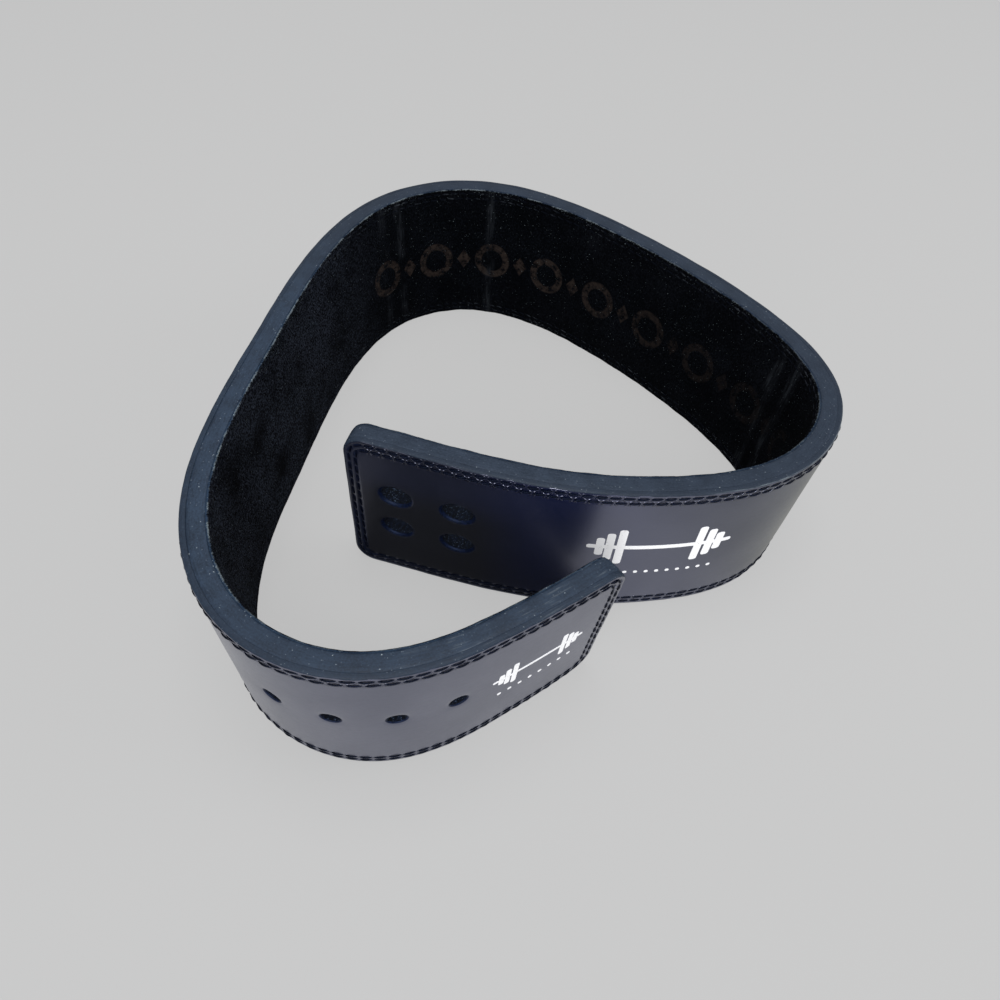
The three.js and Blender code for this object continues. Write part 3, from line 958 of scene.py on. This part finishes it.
def black_suede_finish():
    """Near black, with nap patches, flecks, creases, the stamped row and the paint's ragged lip.
    Only the paint shines."""
    finish = Finish("black_suede")
    paint = paint_colour(finish)[0]
    vector, along, height, out = finish.flat()
    inset = finish.read("inset")
    nap = finish.noise(finish.stretch(vector, NAP_STRETCH), *NAP_NOISE)
    patches = finish.noise(vector, *PATCH_NOISE)
    shade = (nap * 0.8 + patches * 0.3).between(*SUEDE_SPAN)
    base = finish.mix(shade, SUEDE_DEEP, SUEDE_SOFT)
    # The lighter, dusty stretch on the left: partly dust and partly painted light.
    starts, full, ends, gone = LIT_DUST_FADES
    dusty_lit = along.between(starts, full) * along.between(gone, ends)
    dusty_lit = dusty_lit * nap.between(*LIT_DUST_NAP) * patches.between(*LIT_DUST_PATCHES)
    base = finish.mix(dusty_lit, base, SUEDE_DUSTY_LIT)
    stamp = stamped_row(finish, along, height)
    worn = finish.noise(vector, *STAMP_NOISE).between(*STAMP_SPAN)
    base = finish.mix(stamp * worn * STAMP_SHARE, base, STAMP_BROWN)
    brushed = finish.noise(finish.stretch(vector, BRUSHED_STRETCH), *BRUSHED_NOISE)
    brushed = brushed.between(*BRUSHED_SPAN)
    tone_mask = finish.noise(vector, *CREASE_NOISE).between(*CREASE_SPAN)
    bent = along + (patches - 0.5) * CREASE_WANDER
    crease = 0
    for place, strength in CREASES:
        crease = crease + (1 - abs(bent - place).between(0.0, CREASE_HALF)) * strength
    base = finish.mix(crease * tone_mask * (brushed * 0.6 + 0.15), base, SUEDE_CREASE)
    near_edge = 1 - inset.between(*EDGE_DUST)
    grit = finish.noise(vector, *FLECK_NOISE)
    flecks = (grit + near_edge * EDGE_DUST_SHARE).between(*SUEDE_FLECK_SPAN)
    base = finish.mix(flecks, base, SUEDE_FLECK)
    edge = 1 - inset.between(*EDGE_SPAN)
    ragged = out + (nap - 0.5) * PAINT_RAGGED
    painted = ragged.between(PAINT_REACHES - PAINT_SOFT, PAINT_REACHES + PAINT_SOFT) * edge
    base = finish.mix(painted, base, paint)
    lip = 1 - abs(ragged - PAINT_REACHES).between(LIP_HALF * 0.4, LIP_HALF)
    broken = finish.noise(finish.stretch(vector, BROKEN_STRETCH), *BROKEN_NOISE)
    begins, whole, wanes, over = LIP_FADES
    chipped = along.between(begins, whole) * along.between(over, wanes) * 0.35 + 0.18
    base = finish.mix(lip * edge * broken.between(*BROKEN_SPAN) * chipped, base, PAINT_WORN)
    normal = finish.bump(nap + grit * 0.4 - stamp * 0.5, NAP_HEIGHT)
    return finish.surface(
        Base_Color=base,
        Roughness=1.0 - painted * 0.5,
        Normal=normal,
        Specular_IOR_Level=0.02,
    )


black_suede = black_suede_finish()
print("lining finish:", len(black_suede.node_tree.nodes), "nodes")

# %% [markdown]
# The thread is waxed and nearly black, twisted from two plies, whose lay shows as fine diagonal
# ribs. The ink is a flat white transfer, a touch uneven, with pinholes through which navy shows.

# %% Finishes of thread and ink
THREAD_DARK = colour(0.0012, 0.0018, 0.0060)
THREAD_LIGHT = colour(0.0060, 0.0080, 0.0220)
THREAD_BLACK = colour(0.0010, 0.0012, 0.002)
THREAD_DUSTY = colour(0.040, 0.045, 0.052)
INK_WHITE = colour(0.93, 0.93, 0.95)
PLY_LENGTH = 0.8 * MM
PLY_HEIGHT = 0.12 * MM
FUZZ_NOISE = (2500, 2.0)
DUST_NOISE = (120, 4.0, 0.75)
DUST_SPAN = (0.50, 0.68)
PINHOLE_NOISE = (1500, 2.0)
PINHOLE_SPAN = (0.66, 0.74)
PINHOLE_SHARE = 0.7
INK_HEIGHT = 0.03 * MM


def thread_finish(name, dark, light, roughness, gloss):
    """Two dark tones between diagonal ribs."""
    finish = Finish(name)
    vector, along, height, out = finish.flat()
    lay = (along + height + out).wave(PLY_LENGTH) * 0.5 + 0.5
    fuzz = finish.noise(vector, *FUZZ_NOISE)
    worn = finish.noise(vector, *DUST_NOISE).between(*DUST_SPAN)
    base = finish.mix((lay * 0.7 + fuzz * 0.3) * worn, dark, light)
    normal = finish.bump(lay * 0.7 + fuzz * 0.3, PLY_HEIGHT)
    return finish.surface(
        Base_Color=base,
        Roughness=fuzz * 0.2 + roughness,
        Normal=normal,
        Specular_IOR_Level=gloss,
        Specular_Tint=BLUE_MIRROR,
    )


def ink_finish():
    """White with pinholes and a grain that it takes from the leather under it."""
    finish = Finish("white_ink")
    vector = finish.read("flat", "Vector")
    pinholes = finish.noise(vector, *PINHOLE_NOISE).between(*PINHOLE_SPAN)
    base = finish.mix(pinholes * PINHOLE_SHARE, INK_WHITE, NAVY_SOFT)
    grain = finish.noise(vector, *PORE_NOISE)
    normal = finish.bump(grain, INK_HEIGHT)
    return finish.surface(
        Base_Color=base, Roughness=grain * 0.1 + 0.4, Normal=normal, Specular_IOR_Level=0.5
    )


waxed_thread = thread_finish("waxed_thread", THREAD_DARK, THREAD_LIGHT, 0.35, 0.12)
dusty_thread = thread_finish("dusty_thread", THREAD_BLACK, THREAD_DUSTY, 0.8, 0.1)
white_ink = ink_finish()
print("thread and ink ready")

# %% [markdown]
# The facing's profile starts on the face, dips into a shallow furrow under each row of stitches,
# rolls over the worn border and goes down the cut edge. The thread presses the furrow, so the
# leather stands up again at each needle hole. Round a hole the leather sags and then rolls into
# the bore like a soft lip, most at the ovals. A boolean and a bevel could make the holes, but the
# rings keep the lip even and let the finish know how far each point is from the rim.

# %% The facing
FURROW_DEPTH = 0.50 * MM
FURROW_HALF = 0.75 * MM
CREST_SHARE = 0.5
BORDER_ROUND = 1.1 * MM
BORDER_UNEVEN = (90 * MM, 0.12 * MM, 11)
NEAR_EDGE = 3 * MM
FACE_RIPPLE = (110 * MM, 0.10 * MM, 21)
DENT_DEPTH = 0.40 * MM
DENT_REACH = 1.8 * MM
DENT_POWER = 0.4
LIP_DEPTH = 1.5 * MM

# Rings in millimetres. On the face and the border only the insets are set. The cut side and the
# back have (inset, out). Of a hole's rings, off its rim, the last five have their outs set.
FACE_RINGS = [10.4, 9.2, 8.4, 7.8, 7.3, 6.9, 6.5, 6.0, 5.4, 4.8, 4.3, 3.8, 3.4, 3.0, 2.5, 2.0]
FACE_RINGS += [1.6, 1.3, 1.05, 0.85, 0.68, 0.55, 0.46]
SIDE_RINGS = [(0.36, 5.2), (0.33, 4.6), (0.31, 4.0), (0.30, 3.7), (0.33, 3.52), (0.65, 3.5)]
SIDE_RINGS += [(9.0, 3.5)]
BORE_RINGS = [3.0, 2.3, 1.8, 1.4, 1.0, 0.7, 0.45, 0.25, 0.1, 0.02, 0, 0, 0, 0.1, 1.2]
BORE_OUTS = [4.7, 4.3, 3.7, 3.5, 3.5]


def millimetres(rows, points):
    """Numbers in millimetres as rows of metres, each the same at so many points."""
    return np.array(rows)[:, None] * MM + np.zeros(points)


def columns(rings, points):
    """A table of rings, (inset, out), as two arrays of rows."""
    return [millimetres(column, points) for column in zip(*rings)]


def near_edge(insets):
    """1 on the outline, falling evenly to 0 three millimetres inside it."""
    return np.clip(1 - insets / NEAR_EDGE, 0, 1)


def quarter_drop(radius, distance):
    """How far a quarter circle stands back at a distance from where it starts."""
    inside = np.clip(radius - distance, 0, radius)
    return radius - np.sqrt(radius**2 - inside**2)


def furrow(inset, phases):
    """The two furrows: a bell round each row's inset, half filled by a crest at a needle hole."""
    depth = np.zeros(np.broadcast(inset, phases[0]).shape)
    for row, phase in zip(STITCH_INSETS, phases):
        crest = CREST_SHARE * np.cos(pi * phase) ** 2
        depth = depth + FURROW_DEPTH * (1 - crest) * np.exp(-(((inset - row) / FURROW_HALF) ** 2))
    return depth


def facing_profile(border, phases):
    """Rings from the face to the back. Inset closes in on the edge, densest at the furrows and
    the round, and out falls by the furrows and by the quarter circle of the worn border."""
    count = len(border)
    face_insets = millimetres(FACE_RINGS, count)
    drop = furrow(face_insets, phases) + quarter_drop(BORDER_ROUND, face_insets - SKIN_SETBACK)
    uneven = wander(border[:, 0] + border[:, 1], *BORDER_UNEVEN)
    side_insets, side_outs = columns(SIDE_RINGS, count)
    insets = np.vstack([face_insets, side_insets])
    return insets + uneven * near_edge(insets), np.vstack([OUTER_FACE - drop, side_outs])


def facing_bore(hole, angle):
    """Rings from the face into a hole: a sag, a rolled lip, the bore and the back."""
    off_rim = millimetres(BORE_RINGS, len(angle))
    size = hole["lip"] / OVAL_LIP
    share = np.clip(1 - off_rim / hole["lip"], 0, 1)
    roll_down = LIP_DEPTH * size * (1 - np.sqrt(1 - share**2))
    sag = DENT_DEPTH * size**DENT_POWER * np.exp(-((off_rim / DENT_REACH) ** 2))
    outs = OUTER_FACE - roll_down - sag
    outs[-len(BORE_OUTS) :] = millimetres(BORE_OUTS, len(angle))
    return off_rim, outs


def face_ripple(flat):
    """Slow ripples of the outer face, which fade towards the facing's back."""
    depth = np.clip((flat[:, 2] - FACING_BACK) / (OUTER_FACE - FACING_BACK), 0, 1)
    return depth * ripple(flat[:, 0], flat[:, 1], *FACE_RIPPLE)


fine_lines = grid_lines(ALONG_STEP, FACE_STEP)
facing = slab(fine_lines, (OUTER_FACE, FACING_BACK), facing_profile, facing_bore, 1)
facing["flat"][:, 2] += face_ripple(facing["flat"])
outer_facing = add_piece("outer_leather", facing, navy_leather)
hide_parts("outer_facing")

# %% [markdown]
# The paint is brushed over the facing's rounded border too. It has body: a film just under a tenth
# of a millimetre thick, which ends in an uneven line short of the stitches. A mask in the facing's
# finish could paint it on, but it would have no edge. So it is made from the facing's own rings,
# moved out square to their profile for its skin and in for its back, and follows every unevenness
# under it. Where it ends, its skin dips below the leather.

# %% The film of paint
FILM_ROWS = slice(17, 29)
FILM_THICKNESS = 0.08 * MM
FILM_SUNK = 0.15 * MM
FILM_ENDS = 1.2
FILM_RISES_OVER = 1.5
FILM_WANDERS = [(45 * MM, 0.9, 71), (9 * MM, 0.4, 72)]


def paint_film(lines):
    """The film as a shape. The normal of a profile that steps by (a, b) in inset and out is
    (b, -a) over their length. The skin's rise grows evenly over one and a half rings."""
    index, grid, anchors, angles = bordered_grid(*lines)
    outline_points, phases, insets, outs = profile_round(facing_profile, grid[anchors], angles)
    inset_steps, out_steps = np.gradient(insets, axis=0), np.gradient(outs, axis=0)
    normals = np.stack([out_steps, -inset_steps]) / np.hypot(inset_steps, out_steps)
    normals = normals[:, FILM_ROWS]
    profile = np.stack([insets, outs])[:, FILM_ROWS]
    from_top = np.arange(profile.shape[1])[:, None]
    travelled = outline_points[:, 0] + outline_points[:, 1]
    uneven = sum(wander(travelled, *waves) for waves in FILM_WANDERS)
    rises = np.clip((from_top - FILM_ENDS + uneven) / FILM_RISES_OVER, -1, 1) * FILM_THICKNESS
    skin = profile + normals * rises
    back = profile - normals * FILM_SUNK
    insets, outs = np.concatenate([skin, back[:, ::-1]], axis=1)
    rings = outline_at(grid[anchors][None], angles[None], insets)
    rows = np.arange(insets.size).reshape(insets.shape)
    return {
        "flat": np.dstack([rings, outs]).reshape(-1, 3),
        "faces": bands(np.vstack([rows, rows[:1]]), False),
        "attributes": {"inset": insets.ravel(), "rim": np.full(insets.size, FAR)},
    }


film = paint_film(fine_lines)
film["flat"][:, 2] += face_ripple(film["flat"])
add_piece("painted_border", film, painted_edge)

# %% [markdown]
# The core is the thick middle layer. Only its trimmed edge shows, and the walls of the holes. The
# edge is a low crown. Paint bridges the seams to the other two layers, and only along the left
# side has it sunk in and left a dark line. In each hole a thin dark sleeve stands up from the core
# inside the facing's part of the bore, higher where the lip is narrow: painted shade that covers
# the facing's shine there. The walls are a little uneven, as punched leather is.

# %% The core
EDGE_WOBBLE = 0.10 * MM
CORE_WAVE = 60 * MM
CORE_FIRST_SEED = 31
SLEEVE_TOP = 4.75 * MM
PRONG_SLEEVE_TOP = 5.6 * MM
BORE_ROUGH = 0.12 * MM
BORE_WALL_BELOW = 3 * MM
CORE_STEPS = (2.2 * MM, 3.4 * MM)
SEAM_OPENS_ALONG = [0, 165 * MM, 200 * MM, 300 * MM, 380 * MM, BELT_LENGTH]
SEAM_OPENS = [0.03 * MM, 0.03 * MM, 0.45 * MM, 0.35 * MM, 0.04 * MM, 0.0]

# Rings in millimetres: (inset, out) round the edge, and (off the rim, out) in a hole.
CORE_RINGS = [(9.0, 3.2), (0.9, 3.2), (0.7, 3.46), (0.34, 3.49), (0.25, 3.4), (0.22, 3.1)]
CORE_RINGS += [(0.18, 2.6), (0.13, 1.9), (0.1, 1.0), (0.1, 0.0), (0.1, -1.0), (0.1, -2.0)]
CORE_RINGS += [(0.12, -3.0), (0.15, -3.8), (0.2, -4.3), (0.3, -4.8), (0.42, -5.02), (0.7, -5.04)]
CORE_RINGS += [(0.9, -4.8), (9.0, -4.8)]
SEAM_RINGS = slice(3, 7)
SEAM_DEPTHS = [1, 1, 1, 0.5]
WALL_RINGS = [(1.5, 3.2), (0.12, 3.2), (0.1, 4.2), (0.08, 0), (-0.05, 0), (-0.10, 3.9)]
WALL_RINGS += [(-0.10, 3.0), (-0.08, 2.0), (-0.04, 1.0), (0, 0.0), (0, -1.0), (0, -2.0)]
WALL_RINGS += [(0, -3.0), (0, -4.0), (0.05, -4.6), (0.25, -4.8), (1.5, -4.8)]
SLEEVE_RINGS = slice(3, 5)


def core_profile(border, phases):
    """Rings across the edge from the facing's side to the lining's: out falls, and inset follows
    the crown and the seams, the first of which opens along one stretch."""
    insets, outs = columns(CORE_RINGS, len(border))
    travelled = border[:, 0] + 0.7 * border[:, 1]
    seeds = range(CORE_FIRST_SEED, CORE_FIRST_SEED + len(insets))
    rough = np.array([wander(travelled, CORE_WAVE, EDGE_WOBBLE, seed) for seed in seeds])
    insets += np.clip(rough, 0, None) * 0.5
    open_seam = np.interp(border[:, 0], SEAM_OPENS_ALONG, SEAM_OPENS)
    insets[SEAM_RINGS] += np.array(SEAM_DEPTHS)[:, None] * open_seam
    return insets, outs


def core_bore(hole, angle):
    """Rings of the bore's wall: the sleeve, then the slightly uneven wall down through the core.
    Its roughness is the size of the product of two sines of the angle."""
    off_rim, outs = columns(WALL_RINGS, len(angle))
    # The sleeve is painted shade: a dark wall over the facing's glossy part of the bore.
    outs[SLEEVE_RINGS] = SLEEVE_TOP if hole["lip"] == OVAL_LIP else PRONG_SLEEVE_TOP
    rows = np.arange(len(outs))[:, None]
    rough = BORE_ROUGH * np.sin(5 * angle + 1.7 * rows) * np.sin(3 * angle + 0.6 * rows)
    return off_rim + np.abs(rough) * (outs < BORE_WALL_BELOW), outs


core = slab(grid_lines(*CORE_STEPS), (CORE_OUTSIDE, CORE_INSIDE), core_profile, core_bore, 1)
core_layer = add_piece("core_layer", core, painted_edge)
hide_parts("core_leather")

# %% [markdown]
# The suede is thin and soft. Its edge is not cut as straight as the core's, and its face is a
# little lumpy with nap. It is pulled in under the two rows of stitches that come through.

# %% The lining
NAP_LUMPS = (26 * MM, 0.07 * MM, 51)
SUEDE_ROUND = 0.6 * MM
SUEDE_SETBACK = 0.45 * MM
SUEDE_FURROW = 0.6
SUEDE_WANDERS = [(70 * MM, 0.28 * MM, 41), (14 * MM, 0.1 * MM, 42)]
SUEDE_LEAST = -0.35 * MM
FRAYED = 0.15 * MM

# Rings in millimetres: the insets, the outs of the last four, and (off the rim, out) in a hole.
LINING_RINGS = [10.4, 9.0, 8.0, 7.4, 6.9, 6.4, 5.8, 5.0, 4.3, 3.8, 3.4, 3.0, 2.5, 1.9, 1.4, 1.05]
LINING_RINGS += [0.8, 0.6, 0.48, 0.42, 0.5, 9.0]
LINING_BACKS = [-5.7, -5.25, -5.1, -5.1]
LINING_BORE = [(2.6, -6.5), (1.6, -6.48), (0.9, -6.42), (0.5, -6.3), (0.2, -6.1), (0.05, -5.9)]
LINING_BORE += [(0.0, -5.6), (0.0, -5.2), (0.3, -5.1), (1.5, -5.1)]


def lining_profile(border, phases):
    """Rings from the inner face round the soft edge to the lining's back."""
    insets = millimetres(LINING_RINGS, len(border))
    outs = INNER_FACE + quarter_drop(SUEDE_ROUND, insets - SUEDE_SETBACK)
    outs += SUEDE_FURROW * furrow(insets, phases)
    outs[-len(LINING_BACKS) :] = millimetres(LINING_BACKS, len(border))
    travelled = border[:, 0] + border[:, 1]
    uneven = sum(wander(travelled, *waves) for waves in SUEDE_WANDERS)
    return insets + np.clip(uneven, SUEDE_LEAST, None) * near_edge(insets), outs


def lining_bore(hole, angle):
    """Rings round a hole in the suede: a soft edge, the wall and the back. It is frayed by the
    square of the product of two sines of the angle."""
    off_rim, outs = columns(LINING_BORE, len(angle))
    return off_rim + FRAYED * (np.sin(7 * angle) * np.sin(4 * angle + 1)) ** 2, outs


lining = slab(fine_lines, (INNER_FACE, LINING_BACK), lining_profile, lining_bore, -1)
on_face = np.clip((LINING_BACK - lining["flat"][:, 2]) / (LINING_BACK - INNER_FACE), 0, 1)
lumps = ripple(lining["flat"][:, 0], lining["flat"][:, 1], *NAP_LUMPS)
lining["flat"][:, 2] += on_face * np.abs(lumps)
suede = add_piece("suede_layer", lining, black_suede)
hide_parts("suede_lining")

# %% [markdown]
# A stitch is a short length of thread that comes up out of one needle hole and dives into the
# next, lying slightly askew. All of them are made at once as arrays: six-sided tubes in seven
# sections, whose middle line rises out of the furrow and whose ends sink below the leather.

# %% Stitches
STITCH_SECTIONS = 7
STITCH_SIDES = 6
THREAD_HALF_WIDTH = 0.55 * MM
THREAD_HALF_HEIGHT = 0.36 * MM
THREAD_SUNK = 0.75 * MM
THREAD_ARCH = 0.55
STITCH_SLANT = 0.40 * MM
SLANT_VARIES = 0.5
RISE_VARIES = 0.15
OUTER_RISE = 0.95 * MM
INNER_RISE = 0.58 * MM
OUTER_SEEDS = (61, 62)
INNER_SEEDS = (63, 64)


def stitch_tubes(row, face, outward, rise, seed):
    """Tubes between neighbouring needle holes. Sideways they go from plus to minus the slant, and
    outwards they follow a root of a sine, from below the furrow to its top."""
    holes = needle_holes(row)
    draw = np.random.default_rng(seed)
    here, there = holes[:-1, None], holes[1:, None]
    run = there - here
    run = run / np.linalg.norm(run, axis=-1)[..., None]
    across = np.stack([-run[..., 1], run[..., 0]], -1)
    share = np.linspace(0.07, 0.93, STITCH_SECTIONS)[None, :, None]
    count = len(here)
    askew = STITCH_SLANT * (1 + SLANT_VARIES * draw.uniform(-1, 1, (count, 1, 1)))
    middle = here + (there - here) * share + across * askew * (1 - 2 * share)
    lift = np.sin(pi * np.linspace(0.04, 0.96, STITCH_SECTIONS)) ** THREAD_ARCH
    lift = rise * (1 + RISE_VARIES * draw.uniform(-1, 1, (count, 1))) * lift - THREAD_SUNK
    turn = np.arange(STITCH_SIDES) / STITCH_SIDES * 2 * pi
    wide = THREAD_HALF_WIDTH * np.cos(turn)
    thick = THREAD_HALF_HEIGHT * np.sin(turn)
    place = middle[:, :, None, :] + across[:, :, None, :] * wide[None, None, :, None]
    out = face + outward * (lift[:, :, None] + thick[None, None, :])
    flat = np.concatenate([place, out[..., None]], -1)
    index = np.arange(flat[..., 0].size).reshape(flat.shape[:3])
    here, there = index[:, :-1], index[:, 1:]
    tube = np.stack([here, there, np.roll(there, -1, 2), np.roll(here, -1, 2)], -1)
    first, last = index[:, 0], index[:, -1]
    caps = [
        first[:, [0, 1, 2, 3]],
        first[:, [0, 3, 4, 5]],
        last[:, [3, 2, 1, 0]],
        last[:, [5, 4, 3, 0]],
    ]
    faces = np.vstack([tube.reshape(-1, 4), *caps])
    return flat.reshape(-1, 3), faces if outward > 0 else faces[:, ::-1]


def stitched(face, outward, rise, seeds):
    """Both rows of stitches on one face."""
    rows = zip(STITCH_INSETS, seeds)
    return joined([stitch_tubes(row, face, outward, rise, seed) for row, seed in rows])


outer = stitched(OUTER_FACE, 1, OUTER_RISE, OUTER_SEEDS)
outer["flat"][:, 2] += face_ripple(outer["flat"])
add_piece("outer_stitches", outer, waxed_thread)
inner = stitched(INNER_FACE, -1, INNER_RISE, INNER_SEEDS)
add_piece("inner_stitches", inner, dusty_thread)

# %% [markdown]
# The printed marks are plain pictures of training weights, in flat white ink that stands a tenth
# of a millimetre proud. Each part of a mark is a strip of ink with rounded ends, so it is the same
# kind of shape throughout: sections along it whose height shrinks at the ends by a quarter circle.

# %% Printed marks
INK_TOP = 0.10 * MM
INK_BOTTOM = -0.05 * MM
INK_STEP = 0.8 * MM
INK_COLUMNS = 5
DOT_RADIUS = 1.1 * MM
DOT_CORNER = 1.05 * MM
PLATES = ((0.27, 0.20), (0.345, 0.155), (0.41, 0.10))
MARKS = [
    {"along": 991 * MM, "bar": (57 * MM, 74 * MM), "rule": (34 * MM, 62 * MM, 12)},
    {"along": 42 * MM, "bar": (55 * MM, 50 * MM), "rule": (38 * MM, 40 * MM, 8)},
]


def ink_bar(along, height, half_along, half_height, corner):
    """A rounded patch of ink. Its half height at a distance from its end is the full one less the
    drop of a quarter circle of the corner radius. Each section is a closed ring of points."""
    steps = max(round(2 * half_along / INK_STEP), 8)
    spread = -np.cos(np.linspace(0.02, 0.98, steps + 1) * pi)
    from_end = half_along * (1 - np.abs(spread))
    half = half_height - quarter_drop(corner, from_end)
    top = half[:, None] * np.linspace(-1, 1, INK_COLUMNS)
    heights = height + np.hstack([top, top[:, ::-1]])
    section = [INK_TOP] * INK_COLUMNS + [INK_BOTTOM] * INK_COLUMNS
    outs = OUTER_FACE + np.repeat([section], steps + 1, 0)
    alongs = np.repeat((along + half_along * spread)[:, None], len(section), 1)
    flat = np.stack([alongs, heights, outs], -1).reshape(-1, 3)
    index = np.arange(len(flat)).reshape(steps + 1, len(section))
    here, there = index[:-1], index[1:]
    skin = np.stack([here, np.roll(here, -1, 1), np.roll(there, -1, 1), there], -1)
    ends = []
    for a in range(INK_COLUMNS - 1):
        b, c, d = a + 1, len(section) - 2 - a, len(section) - 1 - a
        ends.append(index[0][[d, c, b, a]])
        ends.append(index[-1][[a, b, c, d]])
    return flat, np.vstack([skin.reshape(-1, 4), np.array(ends)])


def barbell(along, height, size):
    """A bar with three plates at each end, the middle one the tallest, and the bar's two tips."""
    parts = [ink_bar(along, height, 0.50 * size, 0.020 * size, 0.019 * size)]
    for side in (-1, 1):
        for place, tall in PLATES:
            middle = along + side * place * size
            parts.append(ink_bar(middle, height, 0.028 * size, tall * size, 0.02 * size))
    return parts


def dotted_rule(along, height, length, count):
    """A row of small round dots."""
    places = np.linspace(-0.5, 0.5, count) * length + along
    return [ink_bar(place, height, DOT_RADIUS, DOT_RADIUS, DOT_CORNER) for place in places]


parts = []
for mark in MARKS:
    parts += barbell(mark["along"], *mark["bar"])
    parts += dotted_rule(mark["along"], *mark["rule"])
marks = joined(parts)
marks["flat"][:, 2] += face_ripple(marks["flat"])
add_piece("printed_marks", marks, white_ink)

# %% [markdown]
# The stage is a light table: a wide pale floor that glows a little, so that shadows on it stay
# faint, under a bright dome and four soft lamps. The facing mirrors the floor in front of it, which
# is what makes it grey. Two cards lie on the floor, and only the mirrored rays find them.
# Between the two overlapping ends there is a black one. Photographers call it a flag, and it takes
# the floor's shine off the end with the ovals. On the right a grey one dims it a little.

# %% Stage and light
FLOOR_HALF = 6.0
FLOOR_PALE = colour(0.09, 0.09, 0.09)
FLOOR_GLOW = 0.445
CARD_LIFT = 0.5 * MM
CARD_CLEARANCE = 2 * MM
CARD_POINTS = 16
FLAG_NEAR = (235 * MM, 2 * MM)
FLAG_FAR = (BELT_LENGTH - 152 * MM, BELT_LENGTH)
FLAG_FAR_POINTS = 12
GREY_ALONG = (820 * MM, 1000 * MM)
GREY_WIDE = 260 * MM
GREY_FADES = (70 * MM, 165 * MM)
# The grey card glows dimmer and a little yellow further right: a painted reflection in the facing.
GREY_GLOW = colour(0.71, 0.71, 0.61)
WHITE = colour(1, 1, 1)
BLACK_CARD = colour(0.01, 0.01, 0.01)
SKY_PALE = colour(0.96, 0.98, 1.0)
SKY_STRENGTH = 0.55
LAMPS = [
    {"name": "overhead", "place": (0.0, 0.1, 2.0), "turn": (0, 0), "size": 0.9, "watts": 18},
    {"name": "front", "place": (-0.2, -1.9, 2.0), "turn": (44, -6), "size": 1.5, "watts": 46},
    {"name": "low", "place": (-0.3, -2.3, 0.8), "turn": (72, -7), "size": 0.6, "watts": 14},
    {"name": "right", "place": (2.0, 0.2, 0.9), "turn": (66, 90), "size": 1.2, "watts": 18},
]


def stage_plane(name, corners, lift, material):
    """A flat shape that faces up and isn't part of the belt."""
    mesh = bpy.data.meshes.new(name)
    mesh.from_pydata([(x, y, lift) for x, y in corners], [], [range(len(corners))])
    mesh.materials.append(material)
    plane = bpy.data.objects.new(name, mesh)
    bpy.context.scene.collection.objects.link(plane)
    return plane


def line_beside(between, out, points):
    """Flat points on the lower edge, evenly spaced along the strip, at one out coordinate."""
    along = np.linspace(*between, points)
    return np.column_stack([along, 0 * along, 0 * along + out])


def glowing(finish, glow):
    """A matt pale surface that gives off light of one colour."""
    return finish.surface(
        Base_Color=FLOOR_PALE,
        Roughness=0.9,
        Emission_Color=glow,
        Emission_Strength=FLOOR_GLOW,
        Specular_IOR_Level=0.0,
    )


floor_corners = [(x * FLOOR_HALF, y * FLOOR_HALF) for x, y in ((-1, -1), (1, -1), (1, 1), (-1, 1))]
stage_plane("floor", floor_corners, 0, glowing(Finish("floor"), WHITE))

near_side = line_beside(FLAG_NEAR, INNER_FACE - CARD_CLEARANCE, CARD_POINTS)
far_side = line_beside(FLAG_FAR, OUTER_FACE + CARD_CLEARANCE, FLAG_FAR_POINTS)
flag_corners = strip_points(np.vstack([near_side, far_side]))[:, :2].tolist()
flag_material = Finish("flag").surface(Base_Color=BLACK_CARD, Roughness=1.0)

inner_side = line_beside(GREY_ALONG, OUTER_FACE + CARD_CLEARANCE, CARD_POINTS)
outer_side = line_beside(GREY_ALONG, OUTER_FACE + GREY_WIDE, CARD_POINTS)[::-1]
grey_corners = strip_points(np.vstack([inner_side, outer_side]))[:, :2].tolist()
grey_finish = Finish("grey_card")
place = grey_finish.node("ShaderNodeTexCoord", output="Object")
card_x = grey_finish.node("ShaderNodeSeparateXYZ", inputs={"Vector": place}, output="X")
grey_glow = grey_finish.mix(card_x.between(*GREY_FADES), WHITE, GREY_GLOW)

flag = stage_plane("flag", flag_corners, CARD_LIFT, flag_material)
grey_card = stage_plane("grey_card", grey_corners, CARD_LIFT, glowing(grey_finish, grey_glow))
for card in (flag, grey_card):
    card.visible_camera = False
    card.visible_diffuse = False
    card.visible_shadow = False

for lamp in LAMPS:
    data = bpy.data.lights.new(lamp["name"], "AREA")
    data.shape = "SQUARE"
    data.size = lamp["size"]
    data.energy = lamp["watts"]
    light = bpy.data.objects.new(lamp["name"], data)
    light.location = lamp["place"]
    light.rotation_euler = (radians(lamp["turn"][0]), 0, radians(lamp["turn"][1]))
    bpy.context.scene.collection.objects.link(light)

world = bpy.data.worlds.new("studio")
bpy.context.scene.world = world
world.use_nodes = True
sky = world.node_tree.nodes["Background"]
sky.inputs["Color"].default_value = SKY_PALE
sky.inputs["Strength"].default_value = SKY_STRENGTH
bpy.context.scene.view_settings.view_transform = "Standard"
print("lamps:", len(LAMPS), "and a sky of strength", SKY_STRENGTH)
